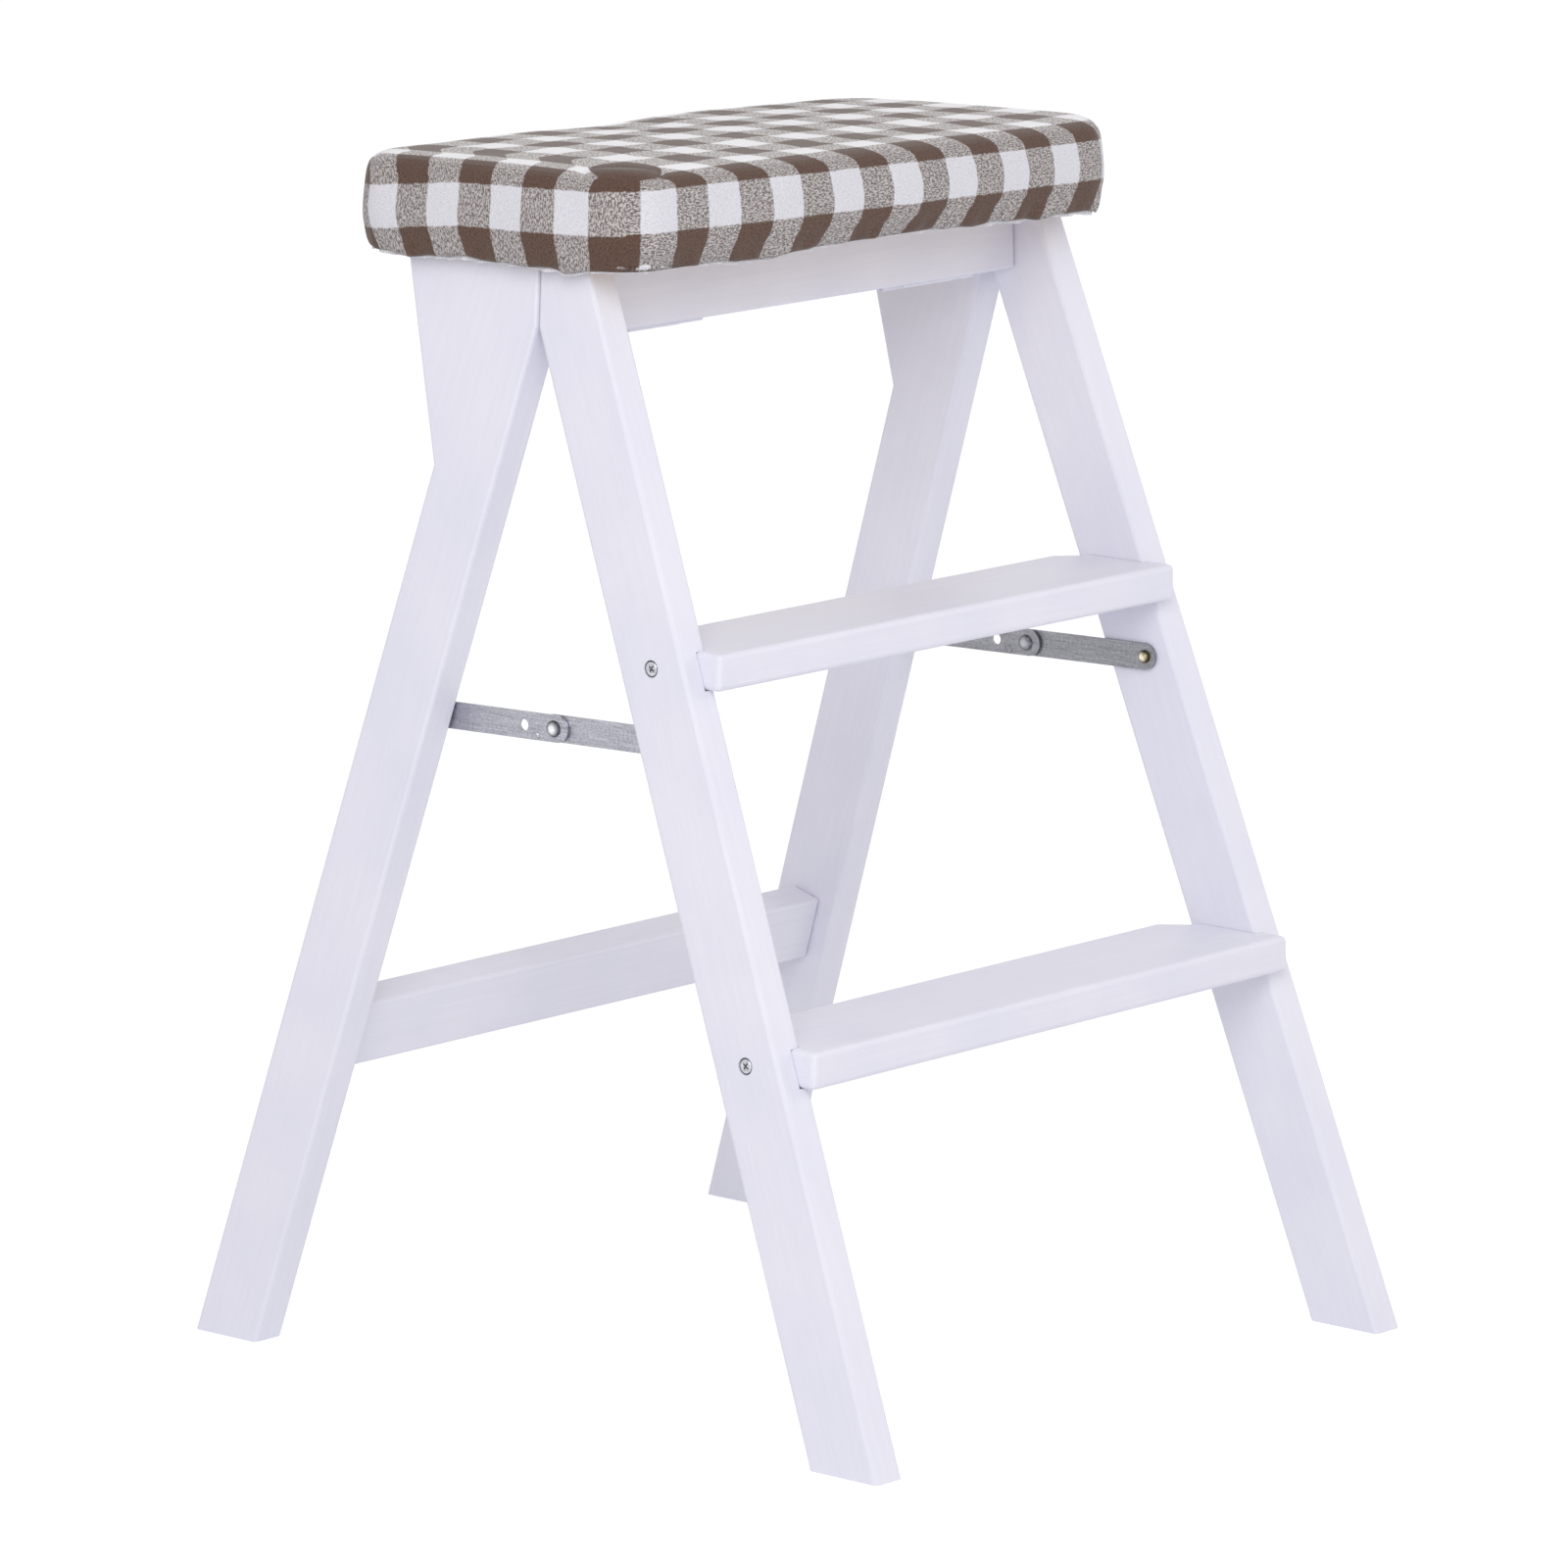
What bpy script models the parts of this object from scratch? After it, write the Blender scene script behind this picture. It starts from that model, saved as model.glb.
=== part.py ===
"""Folding step ladder with two treads and a padded seat.

Two wooden frames meet at a vertical seam under the seat, where butt hinges join their top rails.
The rear frame carries the seat, and the front frame with the treads swings back under it. A
two-link spreader on each side folds down at its elbow.

Metres, +Z up. X runs across the ladder and the treads face -Y. The origin lies on the floor, in
the middle of the four feet's outer edges.
"""
import math

import bmesh
import bpy
from mathutils import Matrix, Vector

# Clearance between touching pieces, and how far a cutter runs on outside a face
GAP = 0.0003
CUT_THROUGH = 0.002

# Legs: both frames lie in the same two side planes, which splay towards the floor
FLOOR_HALF_WIDTH = 0.2195
SIDE_SPLAY = math.radians(2.78)
LEG_THICKNESS = 0.020
LEG_WIDTH = 0.042
LEG_TOP = 0.600
SEAM_LENGTH = 0.0355
FRONT_LEAN = math.radians(20.7)
REAR_LEAN = math.radians(17.25)
REAR_KINK_DROP = 0.116
REAR_TOP_DEPTH = 0.093
ARRIS = 0.0018

# Top rails, back to back at the seam, where an open joint shows between the two frames
SEAM_GAP = 0.0011
RAIL_THICKNESS = 0.020
RAIL_HEIGHT = 0.042

# Rear stretcher, in the plane of the rear legs
STRETCHER_HEIGHT = 0.171
STRETCHER_WIDTH = 0.037
STRETCHER_THICKNESS = 0.020

# Treads, housed in the front legs
LOWER_TREAD_TOP = 0.2108
UPPER_TREAD_TOP = 0.4059
TREAD_THICKNESS = 0.0195
TREAD_HOUSING = 0.007
TONGUE_SHOULDER = 0.0008
NOSE_OVERHANG = 0.0165
LOWER_REAR_OVERHANG = 0.011
UPPER_REAR_OVERHANG = 0.006
CORNER_RUN = 0.016
TREAD_ARRIS = 0.0028

# Seat: the board is set out from the tops of the legs, and the foam and cover from the board
SEAT_SIDE_OVERHANG = 0.0125
SEAT_FRONT_REACH = 0.0708
SEAT_REAR_OVERHANG = 0.0362
SEAT_CORNER_RADIUS = 0.030
LEAST_CORNER_RADIUS = 0.003
LONG_SIDE_BOW = 0.005
SHORT_SIDE_BOW = 0.0025
BOARD_THICKNESS = 0.016
BOARD_INSET = 0.004
COVER_WALL = 0.0015
SKIRT_DROP = 0.004
SKIRT_DRAW = 0.0036
SKIRT_TURN = 0.007
CUSHION_RISE = 0.0257
CUSHION_SHOULDER = 0.010
CUSHION_CROWN = 0.005
CORNER_DROP = 0.0022
SIDE_TAPER = 0.002
CROWN_FLAT = 0.009

# Butt hinges under the rails
HINGE_FROM_LEG = 0.0614
HINGE_LENGTH = 0.058
HINGE_LEAF_WIDTH = 0.017
HINGE_LEAF_THICKNESS = 0.0012
HINGE_BARREL_RADIUS = 0.0026
HINGE_PIN_RADIUS = 0.0011
HINGE_PIN_STANDOUT = 0.0006
HINGE_KNUCKLES = 5
HINGE_SCREW_PITCH = 0.020
KNUCKLE_LAP = 0.001

# Spreaders: heights above the floor, setbacks square to each leg's front edge
FRONT_PIVOT_HEIGHT = 0.3545
FRONT_PIVOT_SETBACK = 0.0164
REAR_PIVOT_HEIGHT = 0.3495
REAR_PIVOT_SETBACK = 0.0107
SHORT_LINK = 0.081
LINK_WIDTH = 0.0144
LINK_THICKNESS = 0.0015
ELBOW_END_REACH = 0.0024
SPARE_HOLE_RADIUS = 0.0031
SPARE_HOLE_FROM_ELBOW = 0.0207
NUB_RADIUS = 0.0022
NUB_HEIGHT = 0.0010
NUB_FROM_ELBOW = 0.0122
WASHER_RADIUS = 0.0055
RIVET_HEAD_RADIUS = 0.0045
RIVET_HEAD_HEIGHT = 0.0020
RIVET_SHANK_RADIUS = 0.0022

# Screws and dowels
TREAD_SCREW = {"head": 0.0044, "shank": 0.0020, "length": 0.040}
SEAT_SCREW = {"head": 0.0042, "shank": 0.0019, "length": 0.035}
LEAF_SCREW = {"head": 0.0028, "shank": 0.0013, "length": 0.011}
PIVOT_SCREW = {"head": 0.0037, "shank": 0.0019, "length": 0.016}
PIVOT_HEAD_HEIGHT = 0.0024
SCREW_POINT_SHARE = 0.45
HEAD_SINK = 0.0005
SEAT_SCREW_INSETS = (0.030, 0.018)
DOWEL_RADIUS = 0.004
DOWEL_LENGTH = 0.030
DOWEL_IN_LEG = 0.011

# Facets of round forms
ROUND_SIDES = 16
KNUCKLE_STEPS = 14
LINK_END_STEPS = 10
CORNER_STEPS = 5
LONG_SIDE_STEPS = 6
SHORT_SIDE_STEPS = 4
SHOULDER_STEPS = 4
CROWN_STEPS = 4

# Places worked out from the sizes above
SEAM_HEIGHT = LEG_TOP - SEAM_LENGTH
REAR_KINK_HEIGHT = LEG_TOP - REAR_KINK_DROP
SPLAY_SLOPE = math.tan(SIDE_SPLAY)
FRONT_SLOPE = math.tan(FRONT_LEAN)
REAR_SLOPE = math.tan(REAR_LEAN)
FRONT_LEG_CUT = LEG_WIDTH / math.cos(FRONT_LEAN)
REAR_LEG_CUT = LEG_WIDTH / math.cos(REAR_LEAN)
FRONT_REACH = SEAM_HEIGHT * FRONT_SLOPE + FRONT_LEG_CUT
REAR_REACH = SEAM_HEIGHT * REAR_SLOPE + REAR_LEG_CUT
SEAM_Y = (FRONT_REACH - REAR_REACH) / 2
RAIL_BOTTOM = LEG_TOP - RAIL_HEIGHT
HINGE_Z = RAIL_BOTTOM - GAP - HINGE_BARREL_RADIUS
SEAT_DEPTH = SEAT_FRONT_REACH + REAR_TOP_DEPTH + SEAT_REAR_OVERHANG
SEAT_MID_Y = SEAM_Y - SEAT_FRONT_REACH + SEAT_DEPTH / 2
BOARD_BOTTOM = LEG_TOP + GAP
BOARD_TOP = BOARD_BOTTOM + BOARD_THICKNESS
CUSHION_EDGE = BOARD_TOP + CUSHION_RISE


def outer_x(z):
    """Distance from the middle plane to a leg's outer face at height z."""
    return FLOOR_HALF_WIDTH - z * SPLAY_SLOPE


def inner_x(z):
    """Distance from the middle plane to a leg's inner face at height z."""
    return outer_x(z) - LEG_THICKNESS / math.cos(SIDE_SPLAY)


def front_leg_rear_y(z):
    return SEAM_Y - (SEAM_HEIGHT - z) * FRONT_SLOPE


def front_leg_front_y(z):
    return front_leg_rear_y(z) - FRONT_LEG_CUT


def rear_leg_front_y(z):
    return SEAM_Y + (SEAM_HEIGHT - z) * REAR_SLOPE


def rear_leg_rear_y(z):
    return rear_leg_front_y(z) + REAR_LEG_CUT


SEAT_LENGTH = 2 * (outer_x(LEG_TOP) + SEAT_SIDE_OVERHANG)
HINGE_OFFSET = inner_x(RAIL_BOTTOM) - HINGE_FROM_LEG

# Pivot places in the side plane, as (y, z)
FRONT_PIVOT = Vector((
    front_leg_front_y(FRONT_PIVOT_HEIGHT) + FRONT_PIVOT_SETBACK / math.cos(FRONT_LEAN),
    FRONT_PIVOT_HEIGHT))
REAR_PIVOT = Vector((
    rear_leg_front_y(REAR_PIVOT_HEIGHT) + REAR_PIVOT_SETBACK / math.cos(REAR_LEAN),
    REAR_PIVOT_HEIGHT))
SPREADER_SPAN = (FRONT_PIVOT - REAR_PIVOT).length
LONG_LINK = SPREADER_SPAN - SHORT_LINK
LINK_PITCH = LINK_THICKNESS + GAP
# Middle of the link that lies against the wood; its upper edge clears the splayed face
WOOD_LINK_X = (inner_x(FRONT_PIVOT_HEIGHT) - LINK_WIDTH / 2 * SPLAY_SLOPE
               - GAP - LINK_THICKNESS / 2)


def clear_scene():
    for item in list(bpy.data.objects):
        bpy.data.objects.remove(item, do_unlink=True)


def principled(name, color, roughness, metallic=0.0):
    """One material with a Principled BSDF."""
    material = bpy.data.materials.new(name)
    material.use_nodes = True
    shader = material.node_tree.nodes["Principled BSDF"]
    shader.inputs["Base Color"].default_value = (*color, 1.0)
    shader.inputs["Roughness"].default_value = roughness
    shader.inputs["Metallic"].default_value = metallic
    return material


def world_place(item):
    """Where an unturned empty stands, with all its parents."""
    place = item.location.copy()
    while item.parent:
        item = item.parent
        place += item.location
    return place


def add_empty(name, place, parent=None):
    empty = bpy.data.objects.new(name, None)
    empty.empty_display_size = 0.03
    bpy.context.scene.collection.objects.link(empty)
    if parent:
        empty.parent = parent
        place = Vector(place) - world_place(parent)
    empty.location = place
    return empty


def add_piece(name, bm, material, origin=(0, 0, 0), parent=None, smooth=False):
    """Make an object from a bmesh in world coordinates, with its origin at the given place."""
    origin = Vector(origin)
    bmesh.ops.translate(bm, verts=bm.verts, vec=-origin)
    return add_local_piece(name, bm, material, origin, parent, smooth=smooth)


def add_local_piece(name, bm, material, place, parent=None, turn=None, smooth=False):
    """Make an object from a bmesh in its own coordinates, set at a place and turned."""
    bmesh.ops.recalc_face_normals(bm, faces=bm.faces)
    mesh = bpy.data.meshes.new(name)
    bm.to_mesh(mesh)
    bm.free()
    if smooth:
        mesh.shade_smooth()
        mesh.set_sharp_from_angle(angle=math.radians(35))
    mesh.materials.append(material)
    piece = bpy.data.objects.new(name, mesh)
    bpy.context.scene.collection.objects.link(piece)
    if parent:
        piece.parent = parent
        place = Vector(place) - world_place(parent)
    piece.location = place
    if turn:
        piece.rotation_euler = turn.to_euler()
    return piece


def boolean(piece, name, bm, operation="DIFFERENCE"):
    """Cut a bmesh in world coordinates out of a piece, or join it on."""
    bmesh.ops.recalc_face_normals(bm, faces=bm.faces)
    mesh = bpy.data.meshes.new(name)
    bm.to_mesh(mesh)
    bm.free()
    cutter = bpy.data.objects.new(name, mesh)
    cutter.hide_render = True
    cutter.display_type = "WIRE"
    bpy.context.scene.collection.objects.link(cutter)
    modifier = piece.modifiers.new(name, "BOOLEAN")
    modifier.operation = operation
    modifier.object = cutter
    modifier.solver = "EXACT"


def ease(bm, width, segments=2, keep_floor=True):
    """Round the outward arrises by a small bevel; the sawn foot ends stay square."""
    bmesh.ops.recalc_face_normals(bm, faces=bm.faces)
    edges = []
    for edge in bm.edges:
        on_floor = all(abs(vert.co.z) < 1e-6 for vert in edge.verts)
        if keep_floor and on_floor:
            continue
        if edge.is_convex and edge.calc_face_angle() > math.radians(8):
            edges.append(edge)
    bmesh.ops.bevel(bm, geom=edges, offset=width, segments=segments, profile=0.5,
                    affect="EDGES", clamp_overlap=True)


def slab(bm, outline, x_start, x_end):
    """Extrude a (y, z) outline across X, between two faces that are functions of z."""
    start = [bm.verts.new((x_start(z), y, z)) for y, z in outline]
    end = [bm.verts.new((x_end(z), y, z)) for y, z in outline]
    bridge(bm, start, end)
    bm.faces.new(start)
    bm.faces.new(end)


def bridge(bm, ring, other):
    count = len(ring)
    for index in range(count):
        after = (index + 1) % count
        bm.faces.new((ring[index], ring[after], other[after], other[index]))


def box(bm, low, high):
    """An upright box between two corners."""
    outline = [(low[1], low[2]), (high[1], low[2]), (high[1], high[2]), (low[1], high[2])]
    slab(bm, outline, lambda z: low[0], lambda z: high[0])


def turned(bm, profile, place=(0, 0, 0), direction=(0, 0, 1), sides=ROUND_SIDES):
    """Turn a (radius, height) profile about an axis; a radius of 0 closes an end."""
    turn = Vector(direction).to_track_quat("Z", "Y").to_matrix().to_4x4()
    matrix = Matrix.Translation(Vector(place)) @ turn
    rings = []
    for radius, height in profile:
        count = sides if radius > 0 else 1
        ring = []
        for index in range(count):
            angle = 2 * math.pi * (index + 0.5) / sides
            point = Vector((radius * math.cos(angle), radius * math.sin(angle), height))
            ring.append(bm.verts.new(matrix @ point))
        rings.append(ring)
    for ring, after in zip(rings, rings[1:]):
        if len(ring) == len(after):
            bridge(bm, ring, after)
            continue
        tip, loop = (ring[0], after) if len(ring) == 1 else (after[0], ring)
        for index in range(sides):
            bm.faces.new((tip, loop[index], loop[(index + 1) % sides]))


def rod_profile(radius, bottom, top):
    return [(0, bottom), (radius, bottom), (radius, top), (0, top)]


def countersunk_profile(screw, grow=0.0, mouth=0.0):
    """A flat-head screw along -Z from its head, or with grow the hole that holds it."""
    head = screw["head"] + grow
    shank = screw["shank"] + grow
    cone = head - shank
    tip = -screw["length"] - grow
    profile = [(0, tip), (shank * SCREW_POINT_SHARE, tip), (shank, tip + 2 * shank),
               (shank, -cone), (head, 0)]
    if mouth:
        profile += [(head, mouth), (0, mouth)]
    else:
        profile += [(0, 0)]
    return profile


def round_head_profile(screw):
    """A round-head screw: the head stands on z = 0 and the shank runs along -Z."""
    head = screw["head"]
    shank = screw["shank"]
    tip = -screw["length"]
    profile = [(0, tip), (shank * SCREW_POINT_SHARE, tip), (shank, tip + 2 * shank),
               (shank, 0), (head, 0)]
    for step in (0.35, 0.6, 0.8, 0.93):
        profile.append((head * math.sqrt(1 - step * step), PIVOT_HEAD_HEIGHT * step))
    profile.append((0, PIVOT_HEAD_HEIGHT))
    return profile


def side_name(side):
    return "left" if side < 0 else "right"


def leg_outline(frame):
    """The (y, z) outline of a leg of either frame."""
    if frame == "front":
        seam = SEAM_Y - SEAM_GAP / 2
        return [(front_leg_front_y(0), 0),
                (front_leg_rear_y(0), 0),
                (seam, SEAM_HEIGHT - SEAM_GAP / 2 / FRONT_SLOPE),
                (seam, LEG_TOP),
                (front_leg_front_y(LEG_TOP), LEG_TOP)]
    seam = SEAM_Y + SEAM_GAP / 2
    return [(rear_leg_rear_y(0), 0),
            (rear_leg_rear_y(REAR_KINK_HEIGHT), REAR_KINK_HEIGHT),
            (SEAM_Y + REAR_TOP_DEPTH, LEG_TOP),
            (seam, LEG_TOP),
            (seam, SEAM_HEIGHT - SEAM_GAP / 2 / REAR_SLOPE),
            (rear_leg_front_y(0), 0)]


def add_leg(frame, side, material, parent):
    bm = bmesh.new()
    slab(bm, leg_outline(frame), lambda z: side * inner_x(z), lambda z: side * outer_x(z))
    ease(bm, ARRIS)
    origin = (side * outer_x(0), leg_outline(frame)[0][0], 0)
    return add_piece(f"{frame}_leg_{side_name(side)}", bm, material, origin, parent)


def add_rail(frame, material, parent):
    """A top rail between the legs' inner faces, against the seam plane."""
    toward = -1 if frame == "front" else 1
    near = SEAM_Y + toward * SEAM_GAP / 2
    far = SEAM_Y + toward * RAIL_THICKNESS
    outline = [(near, RAIL_BOTTOM), (far, RAIL_BOTTOM), (far, LEG_TOP), (near, LEG_TOP)]
    bm = bmesh.new()
    slab(bm, outline, lambda z: GAP - inner_x(z), lambda z: inner_x(z) - GAP)
    ease(bm, ARRIS)
    return add_piece(f"{frame}_rail", bm, material, (0, SEAM_Y, RAIL_BOTTOM), parent)


def stretcher_centre():
    """Middle of the stretcher's section, on the middle line of the rear legs."""
    return Vector((rear_leg_front_y(STRETCHER_HEIGHT) + REAR_LEG_CUT / 2, STRETCHER_HEIGHT))


def add_stretcher(material):
    """A board that leans with the rear legs and ends at their inner faces."""
    centre = stretcher_centre()
    along = Vector((math.sin(REAR_LEAN), -math.cos(REAR_LEAN))) * STRETCHER_WIDTH / 2
    across = Vector((math.cos(REAR_LEAN), math.sin(REAR_LEAN))) * STRETCHER_THICKNESS / 2
    corners = [centre - along - across, centre - along + across,
               centre + along + across, centre + along - across]
    bm = bmesh.new()
    slab(bm, [tuple(corner) for corner in corners],
         lambda z: GAP - inner_x(z), lambda z: inner_x(z) - GAP)
    ease(bm, ARRIS)
    return add_piece("rear_stretcher", bm, material, (0, centre.x, centre.y))


def tread_places(top, rear_overhang):
    """Front edge, end of the housed tongue and rear edge of a tread, along Y."""
    bottom = top - TREAD_THICKNESS
    nose = front_leg_front_y(top) - NOSE_OVERHANG
    tongue = front_leg_rear_y(bottom)
    rear = front_leg_rear_y(top) + rear_overhang
    return nose, tongue, rear


def add_tread(name, top, rear_overhang, material, parent):
    """A tread with a tongue at each end and cut rear corners that pass the rear legs."""
    nose, tongue, rear = tread_places(top, rear_overhang)
    bottom = top - TREAD_THICKNESS
    end = [(TREAD_HOUSING, nose), (TREAD_HOUSING, tongue), (-GAP, tongue), (-CORNER_RUN, rear)]
    bm = bmesh.new()
    rings = []
    for z in (bottom, top):
        right = [bm.verts.new((inner_x(z) + reach, y, z)) for reach, y in end]
        left = [bm.verts.new((-inner_x(z) - reach, y, z)) for reach, y in reversed(end)]
        rings.append(right + left)
    bridge(bm, rings[0], rings[1])
    bm.faces.new(rings[0])
    bm.faces.new(rings[1])
    ease(bm, TREAD_ARRIS, segments=3, keep_floor=False)
    return add_piece(name, bm, material, (0, (nose + rear) / 2, top), parent)


def add_shoulder(bm, side, top, rear_overhang):
    """What is cut off a tongue's top, so that the tread's top face ends at the leg."""
    _, tongue, _ = tread_places(top, rear_overhang)
    low = top - TONGUE_SHOULDER
    front = front_leg_front_y(low) - GAP
    rear = tongue + GAP
    outline = [(front, low), (rear, low), (rear, top + CUT_THROUGH), (front, top + CUT_THROUGH)]
    slab(bm, outline, lambda z: side * (inner_x(top) - 2 * GAP),
         lambda z: side * (inner_x(top) + TREAD_HOUSING + CUT_THROUGH))


def add_housing(bm, side, top, rear_overhang):
    """The slot that holds a tread's tongue: open at the leg's front, closed at its rear."""
    nose, tongue, _ = tread_places(top, rear_overhang)
    low = top - TREAD_THICKNESS - GAP
    high = top - TONGUE_SHOULDER + GAP
    outline = [(nose, low), (tongue + GAP, low), (tongue + GAP, high), (nose, high)]
    slab(bm, outline, lambda z: side * (inner_x(z) - CUT_THROUGH),
         lambda z: side * (inner_x(z) + TREAD_HOUSING + GAP))


def tread_screw_place(side, top):
    """Where a tread screw enters the outer face, level with the middle of the tread."""
    z = top - TREAD_THICKNESS / 2
    y = front_leg_front_y(z) + FRONT_LEG_CUT / 2
    return Vector((side * (outer_x(z) - HEAD_SINK), y, z))


def outward(side):
    return Vector((side, 0, 0))


def dowel_ends(place, side):
    """A dowel's inner and outer end along X, at the height of its place."""
    outer = inner_x(place[1]) + DOWEL_IN_LEG
    return side * (outer - DOWEL_LENGTH), side * outer


def cut_dowel_hole(bm, place, side):
    start, end = dowel_ends(place, side)
    low = min(start, end) - GAP
    turned(bm, rod_profile(DOWEL_RADIUS + GAP, 0, DOWEL_LENGTH + 2 * GAP),
           (low, place[0], place[1]), (1, 0, 0))


def add_dowel(name, place, side, material, parent=None):
    start, end = dowel_ends(place, side)
    bm = bmesh.new()
    turned(bm, rod_profile(DOWEL_RADIUS, 0, DOWEL_LENGTH))
    turn = Vector((1, 0, 0)).to_track_quat("Z", "Y")
    add_local_piece(f"{name}_dowel_{side_name(side)}", bm, material,
                    (min(start, end), place[0], place[1]), parent, turn, smooth=True)


def dowel_places():
    """Rail name and (y, z) of the dowel line of each rail."""
    middle_z = LEG_TOP - RAIL_HEIGHT / 2
    centre = stretcher_centre()
    return {"front_rail": (SEAM_Y - RAIL_THICKNESS / 2, middle_z),
            "rear_rail": (SEAM_Y + RAIL_THICKNESS / 2, middle_z),
            "stretcher": (centre.x, centre.y)}


def add_screw(name, profile, place, direction, material, parent=None):
    """A screw whose local +Z, out of its head, points along the direction."""
    bm = bmesh.new()
    turned(bm, profile)
    turn = Vector(direction).to_track_quat("Z", "Y")
    return add_local_piece(name, bm, material, place, parent, turn, smooth=True)


def seat_screw_places():
    """Tops of the screws that hold the board on the rear legs."""
    x = (outer_x(LEG_TOP) + inner_x(LEG_TOP)) / 2
    places = []
    for side in (-1, 1):
        for reach in (SEAT_SCREW_INSETS[0], REAR_TOP_DEPTH - SEAT_SCREW_INSETS[1]):
            places.append(Vector((side * x, SEAM_Y + reach, BOARD_TOP - HEAD_SINK)))
    return places


def leaf_screw_places(frame, side):
    """Heads of the three screws of one leaf, flush with its lower face."""
    toward = -1 if frame == "front" else 1
    inner_edge = HINGE_BARREL_RADIUS + GAP
    y = SEAM_Y + toward * (inner_edge + HINGE_LEAF_WIDTH) / 2
    z = RAIL_BOTTOM - GAP - HINGE_LEAF_THICKNESS + GAP
    return [Vector((side * HINGE_OFFSET + step * HINGE_SCREW_PITCH, y, z)) for step in (-1, 0, 1)]


def add_hinge(side, materials, front_parent):
    """One butt hinge: two leaves whose knuckles alternate along one pin."""
    steel = materials["steel"]
    start = side * HINGE_OFFSET - HINGE_LENGTH / 2
    knuckle = HINGE_LENGTH / HINGE_KNUCKLES
    radius = HINGE_BARREL_RADIUS
    top = HINGE_Z + radius
    low = top - HINGE_LEAF_THICKNESS
    for frame, toward, parent in (("front", -1, front_parent), ("rear", 1, None)):
        bm = bmesh.new()
        near = SEAM_Y + toward * (radius + GAP)
        far = SEAM_Y + toward * HINGE_LEAF_WIDTH
        box(bm, (start, min(near, far), low), (start + HINGE_LENGTH, max(near, far), top))
        name = f"hinge_{frame}_leaf_{side_name(side)}"
        origin = (side * HINGE_OFFSET, SEAM_Y, HINGE_Z)
        leaf = add_piece(name, bm, steel, origin, parent)
        own = range(0, HINGE_KNUCKLES, 2) if frame == "front" else range(1, HINGE_KNUCKLES, 2)
        bm = bmesh.new()
        for index in own:
            first = start + index * knuckle + GAP / 2
            add_knuckle(bm, first, first + knuckle - GAP, toward, near)
        boolean(leaf, f"{name}_knuckles", bm, "UNION")
        bm = bmesh.new()
        turned(bm, rod_profile(HINGE_PIN_RADIUS + GAP, -GAP, HINGE_LENGTH + GAP),
               (start, SEAM_Y, HINGE_Z), (1, 0, 0))
        boolean(leaf, f"{name}_pin_hole", bm)
        bm = bmesh.new()
        for place in leaf_screw_places(frame, side):
            turned(bm, countersunk_profile(LEAF_SCREW, GAP, CUT_THROUGH), place, (0, 0, -1))
        boolean(leaf, f"{name}_screw_holes", bm)
        for index, place in enumerate(leaf_screw_places(frame, side), start=1):
            add_screw(f"hinge_{frame}_screw_{side_name(side)}_{index}",
                      countersunk_profile(LEAF_SCREW), place, (0, 0, -1), steel, parent)
    bm = bmesh.new()
    turned(bm, rod_profile(HINGE_PIN_RADIUS, -HINGE_PIN_STANDOUT, HINGE_LENGTH + HINGE_PIN_STANDOUT))
    turn = Vector((1, 0, 0)).to_track_quat("Z", "Y")
    add_local_piece(f"hinge_pin_{side_name(side)}", bm, steel, (start, SEAM_Y, HINGE_Z),
                    None, turn, smooth=True)


def add_knuckle(bm, start, end, toward, near):
    """One knuckle: the leaf runs on to the barrel's top and wraps round the pin."""
    radius = HINGE_BARREL_RADIUS
    low = radius - HINGE_LEAF_THICKNESS
    outline = [(near + toward * KNUCKLE_LAP, HINGE_Z + radius)]
    inner = math.acos(low / radius)
    for step in range(KNUCKLE_STEPS + 1):
        angle = (2 * math.pi - inner) * step / KNUCKLE_STEPS
        y = SEAM_Y - toward * radius * math.sin(angle)
        outline.append((y, HINGE_Z + radius * math.cos(angle)))
    outline.append((near + toward * KNUCKLE_LAP, HINGE_Z + low))
    slab(bm, outline, lambda z: start, lambda z: end)


def cut_leaf_screw_pilots(rail, frame):
    bm = bmesh.new()
    for side in (-1, 1):
        for place in leaf_screw_places(frame, side):
            turned(bm, countersunk_profile(LEAF_SCREW, GAP, CUT_THROUGH), place, (0, 0, -1))
    boolean(rail, f"{frame}_rail_pilots", bm)


def link_layout(side):
    """Middle X and length of each link of one spreader; the rear link lies on the -X side."""
    wood = side * WOOD_LINK_X
    off_wood = side * (WOOD_LINK_X - LINK_PITCH)
    if side < 0:
        return {"rear": (wood, SHORT_LINK), "front": (off_wood, LONG_LINK)}
    return {"rear": (off_wood, LONG_LINK), "front": (wood, SHORT_LINK)}


def link_blank(bm, length):
    """A flat link with round ends, from its pivot at the origin along +Y to past the elbow."""
    half = LINK_WIDTH / 2
    outline = []
    for middle, first in ((length + ELBOW_END_REACH, -90), (0, 90)):
        for step in range(LINK_END_STEPS + 1):
            angle = math.radians(first + 180 * step / LINK_END_STEPS)
            outline.append((middle + half * math.cos(angle), half * math.sin(angle)))
    slab(bm, outline, lambda z: -LINK_THICKNESS / 2, lambda z: LINK_THICKNESS / 2)


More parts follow.
